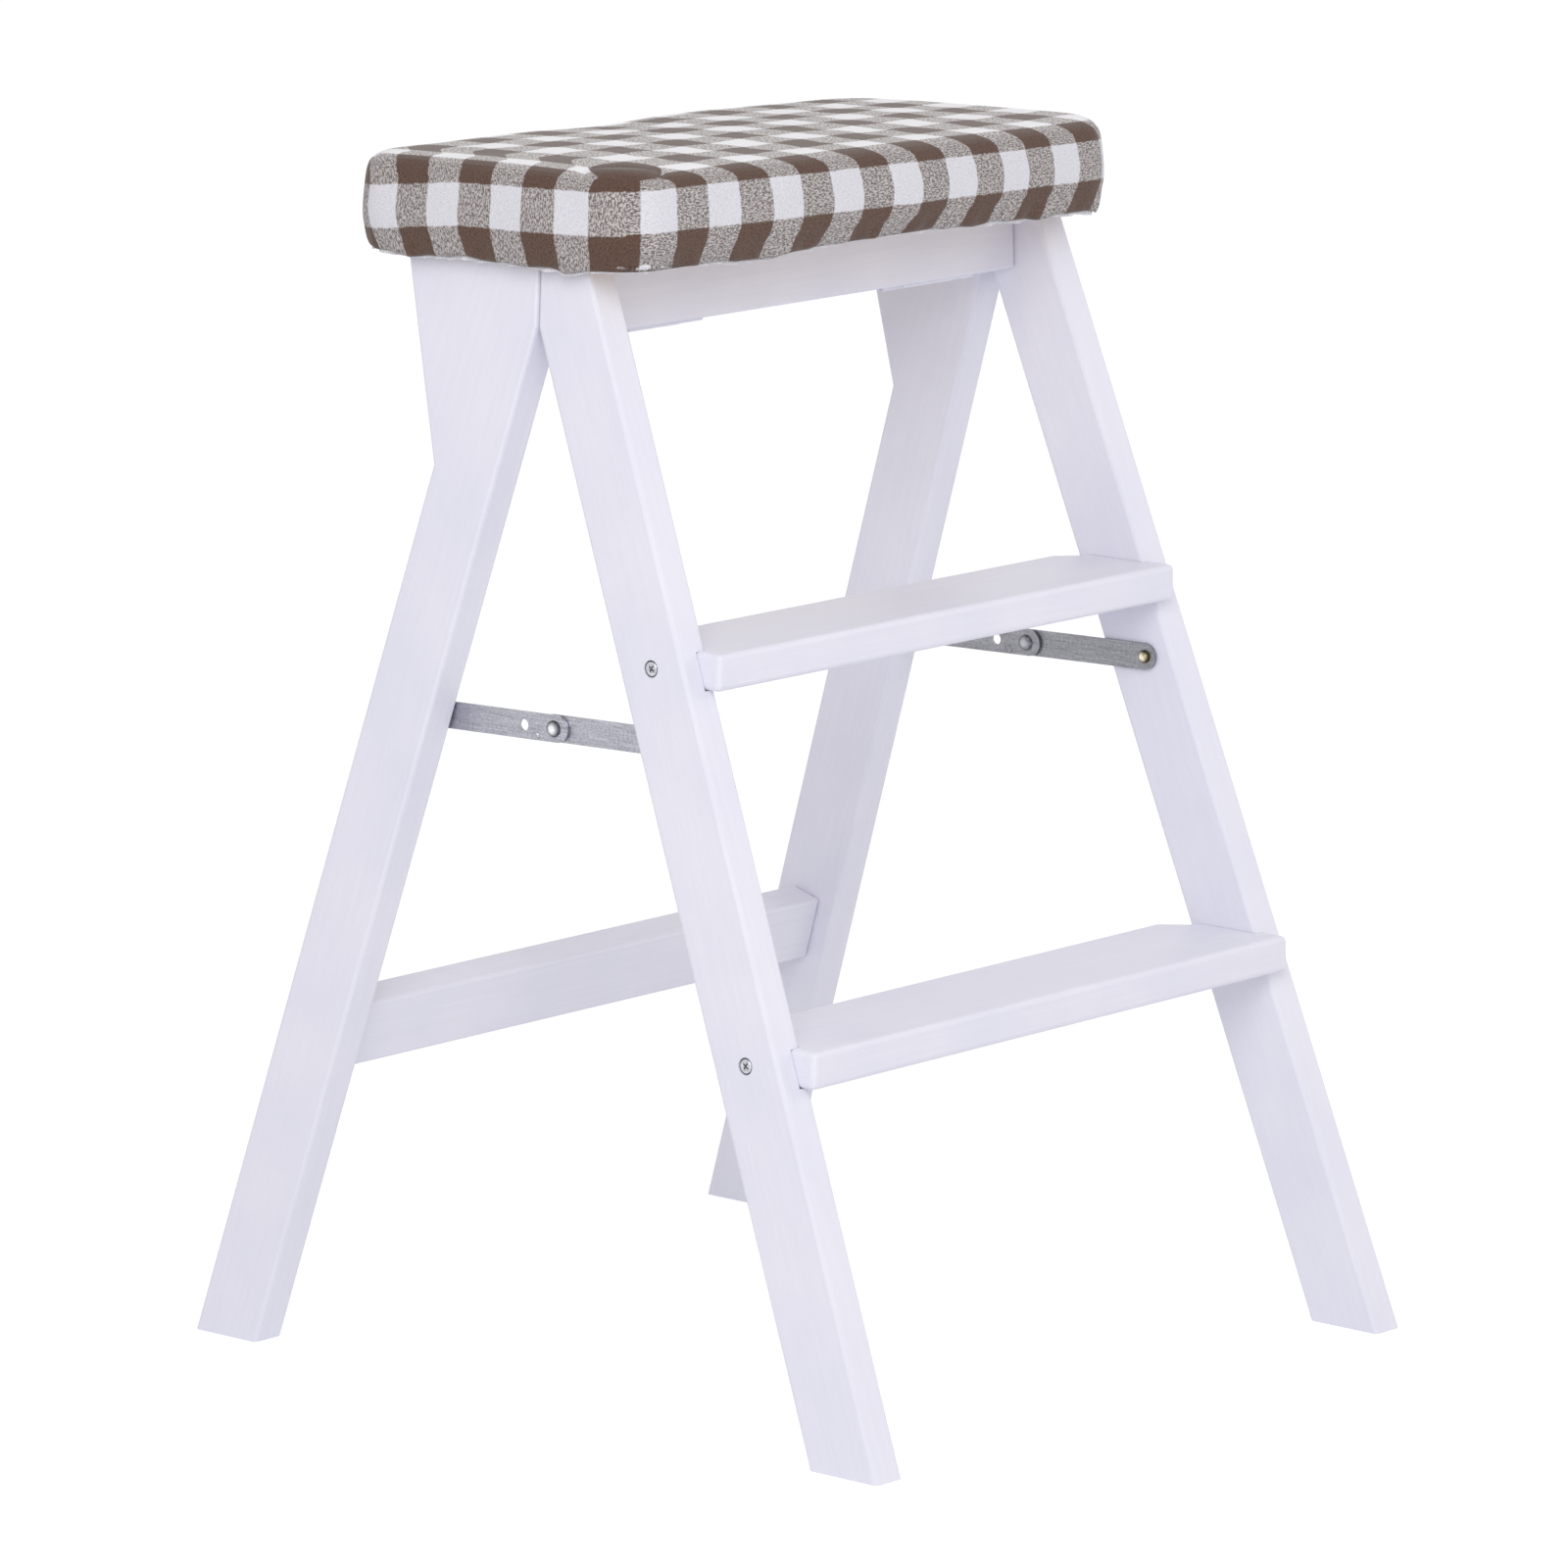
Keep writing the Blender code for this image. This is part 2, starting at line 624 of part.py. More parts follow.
def add_spreader(side, materials, front_parent):
    """Both links, the two halves of the elbow rivet, the pivot screws and the spacer washer."""
    layout = link_layout(side)
    name = side_name(side)
    pivots = {"rear": REAR_PIVOT, "front": FRONT_PIVOT}
    aim = (FRONT_PIVOT - REAR_PIVOT).normalized()
    inward = Vector((-side, 0, 0))
    for frame in ("rear", "front"):
        x, length = layout[frame]
        pivot = pivots[frame]
        parent = front_parent if frame == "front" else None
        toward = aim if frame == "rear" else -aim
        turn = Matrix.Rotation(math.atan2(toward.y, toward.x), 3, "X").to_quaternion()
        place = Vector((x, pivot.x, pivot.y))
        axis = add_empty(f"{frame}_link_axis_{name}", place, parent)
        elbow = place + Vector((0, toward.x, toward.y)) * length
        bm = bmesh.new()
        link_blank(bm, length)
        link_name = f"spreader_{frame}_link_{name}"
        link = add_local_piece(link_name, bm, materials["steel"], place, axis, turn)
        outer = Vector((-1 if frame == "rear" else 1, 0, 0))
        if frame == "rear":
            add_nub(link, link_name, elbow, toward, outer)
        bm = bmesh.new()
        for point, radius in ((place, PIVOT_SCREW["shank"]), (elbow, RIVET_SHANK_RADIUS)):
            turned(bm, rod_profile(radius + GAP, -CUT_THROUGH, CUT_THROUGH), point, (1, 0, 0))
        if frame == "rear":
            spare = elbow - Vector((0, toward.x, toward.y)) * SPARE_HOLE_FROM_ELBOW
            turned(bm, rod_profile(SPARE_HOLE_RADIUS, -CUT_THROUGH, CUT_THROUGH), spare, (1, 0, 0))
        boolean(link, f"{link_name}_holes", bm)
        part = "head" if frame == "rear" else "tail"
        bm = bmesh.new()
        turned(bm, rivet_profile())
        add_local_piece(f"elbow_rivet_{part}_{name}", bm, materials["steel"], elbow, axis,
                        outer.to_track_quat("Z", "Y"), smooth=True)
        head = place + inward * (LINK_THICKNESS / 2 + GAP)
        add_screw(f"{frame}_pivot_screw_{name}", round_head_profile(PIVOT_SCREW), head, inward,
                  materials["brass"], parent)
        on_wood = abs(abs(x) - WOOD_LINK_X) < GAP / 10
        if not on_wood:
            bm = bmesh.new()
            turned_washer(bm)
            washer_place = Vector((side * WOOD_LINK_X, pivot.x, pivot.y))
            add_local_piece(f"spreader_washer_{name}", bm, materials["steel"], washer_place, parent,
                            Vector((1, 0, 0)).to_track_quat("Z", "Y"), smooth=True)


def add_nub(link, link_name, elbow, toward, outer):
    """The pressed stop nub near the link's lower edge."""
    along = Vector((0, toward.x, toward.y))
    low = LINK_WIDTH / 2 - NUB_RADIUS - GAP
    down = Vector((0, along.z, -along.y))
    if down.z > 0:
        down = -down
    place = elbow - along * NUB_FROM_ELBOW + down * low
    inside = -LINK_THICKNESS / 2 + GAP
    top = LINK_THICKNESS / 2 + NUB_HEIGHT
    profile = [(0, inside), (NUB_RADIUS, inside), (NUB_RADIUS, LINK_THICKNESS / 2 + NUB_HEIGHT / 3),
               (NUB_RADIUS * 0.6, top), (0, top)]
    bm = bmesh.new()
    turned(bm, profile, place, outer, sides=12)
    boolean(link, f"{link_name}_nub", bm, "UNION")


def rivet_profile():
    """Half of the elbow rivet: a domed head and the shank through one link."""
    base = LINK_THICKNESS / 2 + GAP / 2
    profile = [(0, -LINK_THICKNESS / 2), (RIVET_SHANK_RADIUS, -LINK_THICKNESS / 2),
               (RIVET_SHANK_RADIUS, base), (RIVET_HEAD_RADIUS, base)]
    for step in (0.4, 0.7, 0.9):
        radius = RIVET_HEAD_RADIUS * math.sqrt(1 - step * step)
        profile.append((radius, base + RIVET_HEAD_HEIGHT * step))
    profile.append((0, base + RIVET_HEAD_HEIGHT))
    return profile


def turned_washer(bm):
    """A flat ring round the pivot screw, as thick as a link."""
    half = LINK_THICKNESS / 2
    hole = PIVOT_SCREW["shank"] + GAP
    rings = []
    for radius, height in ((hole, -half), (WASHER_RADIUS, -half), (WASHER_RADIUS, half), (hole, half)):
        ring = []
        for index in range(ROUND_SIDES):
            angle = 2 * math.pi * index / ROUND_SIDES
            ring.append(bm.verts.new((radius * math.cos(angle), radius * math.sin(angle), height)))
        rings.append(ring)
    for ring, after in zip(rings, rings[1:] + rings[:1]):
        bridge(bm, ring, after)


def seat_ring(bm, inset, z, bow=0.0, drop=0.0):
    """A rounded rectangle inside the seat's outline.

    Its sides bow out between the corners by a share of the named bows, and its corners lie
    lower by drop.
    """
    half_x = SEAT_LENGTH / 2 - inset
    half_y = SEAT_DEPTH / 2 - inset
    radius = max(SEAT_CORNER_RADIUS - inset / 2, LEAST_CORNER_RADIUS)
    points = []
    corners = ((1, 1, 0, LONG_SIDE_STEPS), (-1, 1, 90, SHORT_SIDE_STEPS),
               (-1, -1, 180, LONG_SIDE_STEPS), (1, -1, 270, SHORT_SIDE_STEPS))
    for sign_x, sign_y, first, side_steps in corners:
        centre = Vector((sign_x * (half_x - radius), sign_y * (half_y - radius)))
        for step in range(CORNER_STEPS + 1):
            angle = math.radians(first + 90 * step / CORNER_STEPS)
            points.append(centre + Vector((math.cos(angle), math.sin(angle))) * radius)
        start = points[-1]
        if side_steps == LONG_SIDE_STEPS:
            end = Vector((-start.x, start.y))
        else:
            end = Vector((start.x, -start.y))
        for step in range(1, side_steps):
            points.append(start.lerp(end, step / side_steps))
    ring = []
    for point in points:
        across = (point.x / half_x) ** 2
        down = (point.y / half_y) ** 2
        x = point.x * (1 + bow * SHORT_SIDE_BOW / half_x * (1 - down))
        y = point.y * (1 + bow * LONG_SIDE_BOW / half_y * (1 - across))
        ring.append(bm.verts.new((x, SEAT_MID_Y + y, z - drop * across * down)))
    return ring


def skin(bm, levels):
    """Skin a list of seat_ring levels and return its rings."""
    rings = [seat_ring(bm, *level) for level in levels]
    for ring, after in zip(rings, rings[1:]):
        bridge(bm, ring, after)
    return rings


def crown_levels(shrink):
    """Shoulder and crown of the cushion, moved in and down by shrink."""
    levels = []
    for step in range(SHOULDER_STEPS + 1):
        angle = math.pi / 2 * step / SHOULDER_STEPS
        inset = SIDE_TAPER + CUSHION_SHOULDER * (1 - math.cos(angle))
        z = CUSHION_EDGE - CUSHION_SHOULDER * (1 - math.sin(angle))
        levels.append((inset + shrink, z - shrink, 1, CORNER_DROP))
    start = SIDE_TAPER + CUSHION_SHOULDER
    last = SEAT_DEPTH / 2 - CROWN_FLAT
    for step in range(1, CROWN_STEPS + 1):
        share = step / CROWN_STEPS
        inset = start + (last - start) * share
        z = CUSHION_EDGE + CUSHION_CROWN * (1 - (1 - share) ** 2)
        levels.append((inset + shrink, z - shrink, 1 - share, CORNER_DROP * (1 - share)))
    return levels


def add_cushion(materials):
    """The foam on the board, and the cover drawn over both with a skirt below the board."""
    bm = bmesh.new()
    rings = skin(bm, [(BOARD_INSET, BOARD_TOP + GAP)] + crown_levels(COVER_WALL + GAP))
    bm.faces.new(rings[0])
    bm.faces.new(rings[-1])
    origin = (0, SEAT_MID_Y, BOARD_TOP)
    add_piece("foam_pad", bm, materials["foam"], origin)
    bottom = LEG_TOP - SKIRT_DROP
    recess = BOARD_INSET - GAP
    outer = [(SKIRT_DRAW, bottom), (SKIRT_DRAW / 4, bottom + SKIRT_TURN, 1), (0, BOARD_TOP, 1)]
    bm = bmesh.new()
    outer_rings = skin(bm, outer + crown_levels(0))
    inner_rings = skin(bm, [(recess, bottom), (recess, BOARD_TOP)] + crown_levels(COVER_WALL))
    bm.faces.new(outer_rings[-1])
    bm.faces.new(inner_rings[-1])
    bridge(bm, outer_rings[0], inner_rings[0])
    add_piece("cushion_cover", bm, materials["cover"], origin, smooth=True)


def add_seat_board(materials):
    bm = bmesh.new()
    rings = skin(bm, [(BOARD_INSET, BOARD_BOTTOM), (BOARD_INSET, BOARD_TOP)])
    bm.faces.new(rings[0])
    bm.faces.new(rings[-1])
    board = add_piece("seat_board", bm, materials["ply"], (0, SEAT_MID_Y, BOARD_BOTTOM))
    bm = bmesh.new()
    for place in seat_screw_places():
        turned(bm, countersunk_profile(SEAT_SCREW, GAP, CUT_THROUGH), place, (0, 0, 1))
    boolean(board, "seat_board_holes", bm)
    for index, place in enumerate(seat_screw_places(), start=1):
        add_screw(f"seat_screw_{index}", countersunk_profile(SEAT_SCREW), place, (0, 0, 1),
                  materials["steel"])


def cut_leg(leg, frame, side, treads):
    """Housings, screw holes, dowel holes and pivot pilots of one leg."""
    name = leg.name
    places = dowel_places()
    bm = bmesh.new()
    if frame == "front":
        for top, rear_overhang in treads:
            add_housing(bm, side, top, rear_overhang)
        boolean(leg, f"{name}_housings", bm)
        bm = bmesh.new()
        for top, rear_overhang in treads:
            turned(bm, countersunk_profile(TREAD_SCREW, GAP, CUT_THROUGH),
                   tread_screw_place(side, top), outward(side))
        cut_dowel_hole(bm, places["front_rail"], side)
        pivot = FRONT_PIVOT
    else:
        for place in seat_screw_places():
            if place.x * side > 0:
                turned(bm, countersunk_profile(SEAT_SCREW, GAP, CUT_THROUGH), place, (0, 0, 1))
        cut_dowel_hole(bm, places["rear_rail"], side)
        cut_dowel_hole(bm, places["stretcher"], side)
        pivot = REAR_PIVOT
    layout = link_layout(side)
    head_x = layout[frame][0] - side * (LINK_THICKNESS / 2 + GAP)
    turned(bm, rod_profile(PIVOT_SCREW["shank"] + GAP, -PIVOT_SCREW["length"] - GAP, 0),
           (head_x, pivot.x, pivot.y), (-side, 0, 0))
    boolean(leg, f"{name}_holes", bm)


def make_materials():
    return {"paint": principled("white_paint", (0.76, 0.76, 0.86), 0.45),
            "ply": principled("plywood", (0.62, 0.45, 0.27), 0.7),
            "foam": principled("foam", (0.85, 0.80, 0.60), 0.9),
            "cover": principled("gingham_cover", (0.42, 0.36, 0.33), 0.85),
            "steel": principled("galvanised_steel", (0.36, 0.36, 0.38), 0.4, 1.0),
            "brass": principled("yellow_zinc", (0.62, 0.52, 0.28), 0.35, 1.0),
            "beech": principled("beech_dowel", (0.66, 0.48, 0.30), 0.7)}


def build():
    clear_scene()
    materials = make_materials()
    paint = materials["paint"]
    fold_axis = add_empty("fold_axis", (0, SEAM_Y, HINGE_Z))
    treads = ((LOWER_TREAD_TOP, LOWER_REAR_OVERHANG), (UPPER_TREAD_TOP, UPPER_REAR_OVERHANG))
    for side in (-1, 1):
        cut_leg(add_leg("rear", side, paint, None), "rear", side, treads)
        cut_leg(add_leg("front", side, paint, fold_axis), "front", side, treads)
    places = dowel_places()
    rails = {"front_rail": (add_rail("front", paint, fold_axis), fold_axis),
             "rear_rail": (add_rail("rear", paint, None), None),
             "stretcher": (add_stretcher(paint), None)}
    for rail_name, (rail, parent) in rails.items():
        bm = bmesh.new()
        for side in (-1, 1):
            cut_dowel_hole(bm, places[rail_name], side)
            add_dowel(rail_name, places[rail_name], side, materials["beech"], parent)
        boolean(rail, f"{rail_name}_dowel_holes", bm)
    cut_leaf_screw_pilots(rails["front_rail"][0], "front")
    cut_leaf_screw_pilots(rails["rear_rail"][0], "rear")
    for name, (top, rear_overhang) in zip(("lower_tread", "upper_tread"), treads):
        tread = add_tread(name, top, rear_overhang, paint, fold_axis)
        bm = bmesh.new()
        for side in (-1, 1):
            place = tread_screw_place(side, top)
            turned(bm, countersunk_profile(TREAD_SCREW, GAP), place, outward(side))
            add_screw(f"{name}_screw_{side_name(side)}", countersunk_profile(TREAD_SCREW), place,
                      outward(side), materials["steel"], fold_axis)
        boolean(tread, f"{name}_screw_holes", bm)
        bm = bmesh.new()
        for side in (-1, 1):
            add_shoulder(bm, side, top, rear_overhang)
        boolean(tread, f"{name}_shoulders", bm)
    for side in (-1, 1):
        add_hinge(side, materials, fold_axis)
        add_spreader(side, materials, fold_axis)
    add_seat_board(materials)
    add_cushion(materials)


build()
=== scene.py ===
"""Folding step ladder with two treads and a checked seat cushion.

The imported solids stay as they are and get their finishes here. The cushion, its gathered hem and
the screw heads are made in full detail, in metres, in the solids' own frame.
"""
import math

import bpy
import numpy as np
from mathutils import Matrix, Vector


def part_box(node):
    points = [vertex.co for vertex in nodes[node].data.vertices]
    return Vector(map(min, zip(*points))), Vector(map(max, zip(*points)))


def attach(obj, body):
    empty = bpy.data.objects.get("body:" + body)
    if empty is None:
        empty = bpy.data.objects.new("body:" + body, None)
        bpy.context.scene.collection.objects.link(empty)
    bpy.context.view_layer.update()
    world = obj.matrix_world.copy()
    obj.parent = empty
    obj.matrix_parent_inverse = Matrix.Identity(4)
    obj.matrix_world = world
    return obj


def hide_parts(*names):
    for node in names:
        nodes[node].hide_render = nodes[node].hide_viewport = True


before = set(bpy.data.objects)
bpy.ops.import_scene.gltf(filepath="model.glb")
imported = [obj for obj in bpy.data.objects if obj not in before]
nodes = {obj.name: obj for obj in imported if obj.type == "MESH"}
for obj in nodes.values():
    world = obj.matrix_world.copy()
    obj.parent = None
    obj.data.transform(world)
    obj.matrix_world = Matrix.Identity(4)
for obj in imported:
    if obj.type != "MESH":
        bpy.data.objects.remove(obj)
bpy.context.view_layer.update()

MM = 0.001


# ---- Shader helpers

def linear(code):
    """Linear colour of an sRGB hex code."""
    channels = [int(code[at:at + 2], 16) / 255 for at in (1, 3, 5)]
    return (*[c / 12.92 if c <= 0.04045 else ((c + 0.055) / 1.055) ** 2.4 for c in channels], 1.0)


def add(tree, kind, inputs=None, **settings):
    """Adds one node: a socket among the inputs is linked, anything else is set as its value."""
    made = tree.nodes.new(kind)
    for name, value in settings.items():
        setattr(made, name, value)
    for key, value in (inputs or {}).items():
        if isinstance(value, bpy.types.NodeSocket):
            tree.links.new(value, made.inputs[key])
        else:
            made.inputs[key].default_value = value
    return made


def calc(tree, operation, *values, **settings):
    """The result of a sum on one or two numbers."""
    inputs = dict(enumerate(values))
    return add(tree, "ShaderNodeMath", inputs, operation=operation, **settings).outputs[0]


def vector_calc(tree, operation, *values):
    """The result of a sum on vectors. A length and a distance come out as numbers."""
    made = add(tree, "ShaderNodeVectorMath", dict(enumerate(values)), operation=operation)
    return made.outputs["Value" if operation in ("LENGTH", "DISTANCE") else "Vector"]


def ramp(tree, value, start, end, low=0.0, high=1.0):
    """Carries start to end evenly onto low to high, and stays level beyond both."""
    inputs = {"Value": value, "From Min": start, "From Max": end, "To Min": low, "To Max": high}
    return add(tree, "ShaderNodeMapRange", inputs).outputs[0]


def wave(tree, length, period):
    """The sine of a length, which goes once round in each period."""
    return calc(tree, "SINE", calc(tree, "MULTIPLY", length, 2 * math.pi / period))


def blend(tree, share, first, second):
    """A colour between two, each of them a socket or an sRGB hex code."""
    first, second = (linear(side) if isinstance(side, str) else side for side in (first, second))
    inputs = {"Factor": share, 6: first, 7: second}
    return add(tree, "ShaderNodeMix", inputs, data_type="RGBA").outputs[2]


def object_place(tree):
    """The place of a point in its piece's own metres."""
    return add(tree, "ShaderNodeTexCoord").outputs["Object"]


def part_of(tree, vector, axis):
    """One of a vector's three numbers."""
    return add(tree, "ShaderNodeSeparateXYZ", {0: vector}).outputs[axis]


def upward(tree):
    """How far the surface faces up: 1 on a top, 0 on a wall and -1 underneath."""
    return part_of(tree, add(tree, "ShaderNodeNewGeometry").outputs["True Normal"], 2)


def stretch(tree, place, scale):
    """A place with each axis multiplied by its own scale."""
    return add(tree, "ShaderNodeMapping", {"Vector": place, "Scale": scale}).outputs[0]


def noise(tree, place, scale, detail, **more):
    """Soft noise, mostly 0.3 to 0.7, with as many features to the metre as its scale says."""
    inputs = {"Vector": place, "Scale": scale, "Detail": detail, **more}
    return add(tree, "ShaderNodeTexNoise", inputs).outputs["Fac"]


def relief(tree, height, strength, depth, **more):
    """A normal bent by a pattern of heights, whose full depth is in metres."""
    inputs = {"Height": height, "Strength": strength, "Distance": depth, **more}
    return add(tree, "ShaderNodeBump", inputs).outputs[0]


def start_material(name):
    """An empty material with its tree and output node."""
    material = bpy.data.materials.new(name)
    material.use_nodes = True
    tree = material.node_tree
    tree.nodes.clear()
    return material, tree, add(tree, "ShaderNodeOutputMaterial")


def surface(tree, out, inputs):
    """Ends a material with one Principled shader."""
    shader = add(tree, "ShaderNodeBsdfPrincipled", inputs)
    tree.links.new(shader.outputs[0], out.inputs[0])


# ---- Materials

# Satin lacquer sprayed on close-grained hardwood: pale lavender white, a soft broad sheen, the
# grain only just telling through as long low ripples, and a faint orange peel.
def satin_lacquer(name, turn):
    """turn: rotation that lays the grain along the texture's X."""
    material, tree, out = start_material(name)
    place = object_place(tree)
    along = add(tree, "ShaderNodeMapping", {"Vector": place, "Rotation": turn}).outputs[0]
    # Grain lines 2.5 mm apart and about 90 mm long
    grain_space = stretch(tree, along, (11, 400, 400))
    grain = noise(tree, grain_space, 1.0, 5.0, Roughness=0.6, Distortion=0.25)
    # Clouds 70 mm across, the slight change of tone from one coat of lacquer to the next
    cloud = noise(tree, place, 14.0, 3.0)
    # Orange peel 1.4 mm across
    peel = noise(tree, place, 700.0, 2.0)
    base = blend(tree, ramp(tree, cloud, 0.3, 0.7), "#E2E1EE", "#E9E8F2")
    colour = blend(tree, ramp(tree, grain, 0.35, 0.75, 0.0, 0.16), base, "#CFCDDC")
    low = relief(tree, grain, 0.25, 0.4 * MM)
    surface(tree, out, {"Base Color": colour, "IOR": 1.5,
                        "Roughness": ramp(tree, cloud, 0.3, 0.7, 0.38, 0.48),
                        "Normal": relief(tree, peel, 0.12, 0.2 * MM, Normal=low)})
    return material


# Galvanised mild-steel strip: a cool light grey metal with a fine low-contrast spangle, drawn
# lengthwise by the rollers, so its highlights are soft and streaked. The darker copies are painted
# shade: the right spreader's for the tread's shadow on it, and the tread screws' heads for the gap
# and slots round their faces. The hinges keep their own dark steel.
def galvanised_steel(name, dark, light, rough=0.42):
    material, tree, out = start_material(name)
    place = object_place(tree)
    # Spangle about 1.5 mm across
    spangle = noise(tree, place, 650.0, 3.0, Roughness=0.55)
    # Streaks 0.5 mm wide and 20 mm long, along Y
    streak = noise(tree, stretch(tree, place, (2000, 50, 2000)), 1.0, 3.0)
    level = ramp(tree, calc(tree, "ADD", spangle, streak), 0.75, 1.25)
    surface(tree, out, {"Base Color": blend(tree, level, dark, light), "Metallic": 1.0,
                        "Roughness": ramp(tree, level, 0.0, 1.0, rough + 0.06, rough - 0.06),
                        "Normal": relief(tree, streak, 0.15, 0.1 * MM)})
    return material


# How far a round head's painted highlight on its crown reaches, and where its painted shade on the
# rim starts, of its radius
CROWN_END = 0.3
RIM_START = 0.85


# Round steel heads, bright zinc or yellow-passivated zinc, with light painted on: a painted
# highlight on the crown, and painted shade where the head curves down to what it holds.
def lit_and_shaded_head(node, crown, rim, rough):
    """Painted light by the distance from the head's axis, which lies along X, as a share of its
    radius.
    """
    low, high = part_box(node)
    middle = (low + high) / 2
    radius = (high.z - low.z) / 2
    material, tree, out = start_material("painted_light_and_shade_" + node)
    plane = vector_calc(tree, "MULTIPLY", object_place(tree), (0, 1, 1))
    apart = vector_calc(tree, "DISTANCE", plane, (0, middle.y, middle.z))
    painted_shade_share = ramp(tree, apart, CROWN_END * radius, RIM_START * radius)
    surface(tree, out, {"Base Color": blend(tree, painted_shade_share, crown, rim), "Roughness": rough,
                        "Metallic": 1.0})
    return material


# Birch plywood, bare and sanded: pale tan faces with long soft figure, and on its edges thin
# plies that change between end grain and long grain.
def birch_plywood():
    material, tree, out = start_material("birch_plywood")
    place = object_place(tree)
    # Figure 4 mm across and 120 mm long
    figure = noise(tree, stretch(tree, place, (8, 240, 240)), 1.0, 6.0, Distortion=0.6)
    wood = blend(tree, ramp(tree, figure, 0.3, 0.7), "#D9BE93", "#E8D3AE")
    # Plies 1.4 mm thick, so that a light and a dark one take 2.8 mm
    ply = wave(tree, part_of(tree, place, 2), 2.8 * MM)
    plies = blend(tree, ramp(tree, ply, -0.2, 0.2), "#B08A5C", "#E2C99E")
    flat = calc(tree, "ABSOLUTE", upward(tree))
    surface(tree, out, {"Base Color": blend(tree, flat, plies, wood), "Roughness": 0.72,
                        "Normal": relief(tree, figure, 0.2, 0.2 * MM)})
    return material


# Fluted beech dowel, bare: pinkish tan with short dark flecks.
def beech_dowel():
    material, tree, out = start_material("beech_dowel")
    # Flecks 0.4 mm wide and 3 mm long
    fleck = noise(tree, stretch(tree, object_place(tree), (330, 2500, 2500)), 1.0, 3.0)
    colour = blend(tree, ramp(tree, fleck, 0.35, 0.65), "#B98C62", "#D8B389")
    surface(tree, out, {"Base Color": colour, "Roughness": 0.7})
    return material


# Polyurethane foam: cream, matt, with open cells about 1.2 mm across.
def seat_foam():
    material, tree, out = start_material("seat_foam")
    inputs = {"Vector": object_place(tree), "Scale": 830.0}
    cell = add(tree, "ShaderNodeTexVoronoi", inputs).outputs["Distance"]
    surface(tree, out, {"Base Color": blend(tree, cell, "#D9C98F", "#EFE3B8"), "Roughness": 0.95,
                        "Normal": relief(tree, cell, 0.6, 0.6 * MM)})
    return material


# Side of a check, the first line's place on the cloth, and the span of the noise that makes the
# lines waver, which moves them by 0.3 mm
CHECK = 23.25 * MM
FIRST_LINE = 7 * MM
WAVER = 1.6 * MM
# Half the height of a stripe's sine over which its edge blends, about two yarns
EDGE_BLEND = 0.055
# The slubs of the two yarns, in features to the metre along and across: 0.8 mm thick and 1.8 mm
# long, which is coarser than the real 0.5 mm yarn, so that they show at this size
YARNS = ((540, 1200, 1), (1400, 700, 1))
# How much a painted sheen pales the colour of the top
PAINTED_SHEEN = 0.045
PUFF_AT = (-174.5 * MM, -73.5 * MM)
PUFF_AXES = (25.5 * MM, 18.5 * MM)
PUFF_TURN = math.radians(40.5)
PUFF_BLEND = 0.02
FOLD_Z = 643.7 * MM
FOLD_BLEND = 0.3 * MM


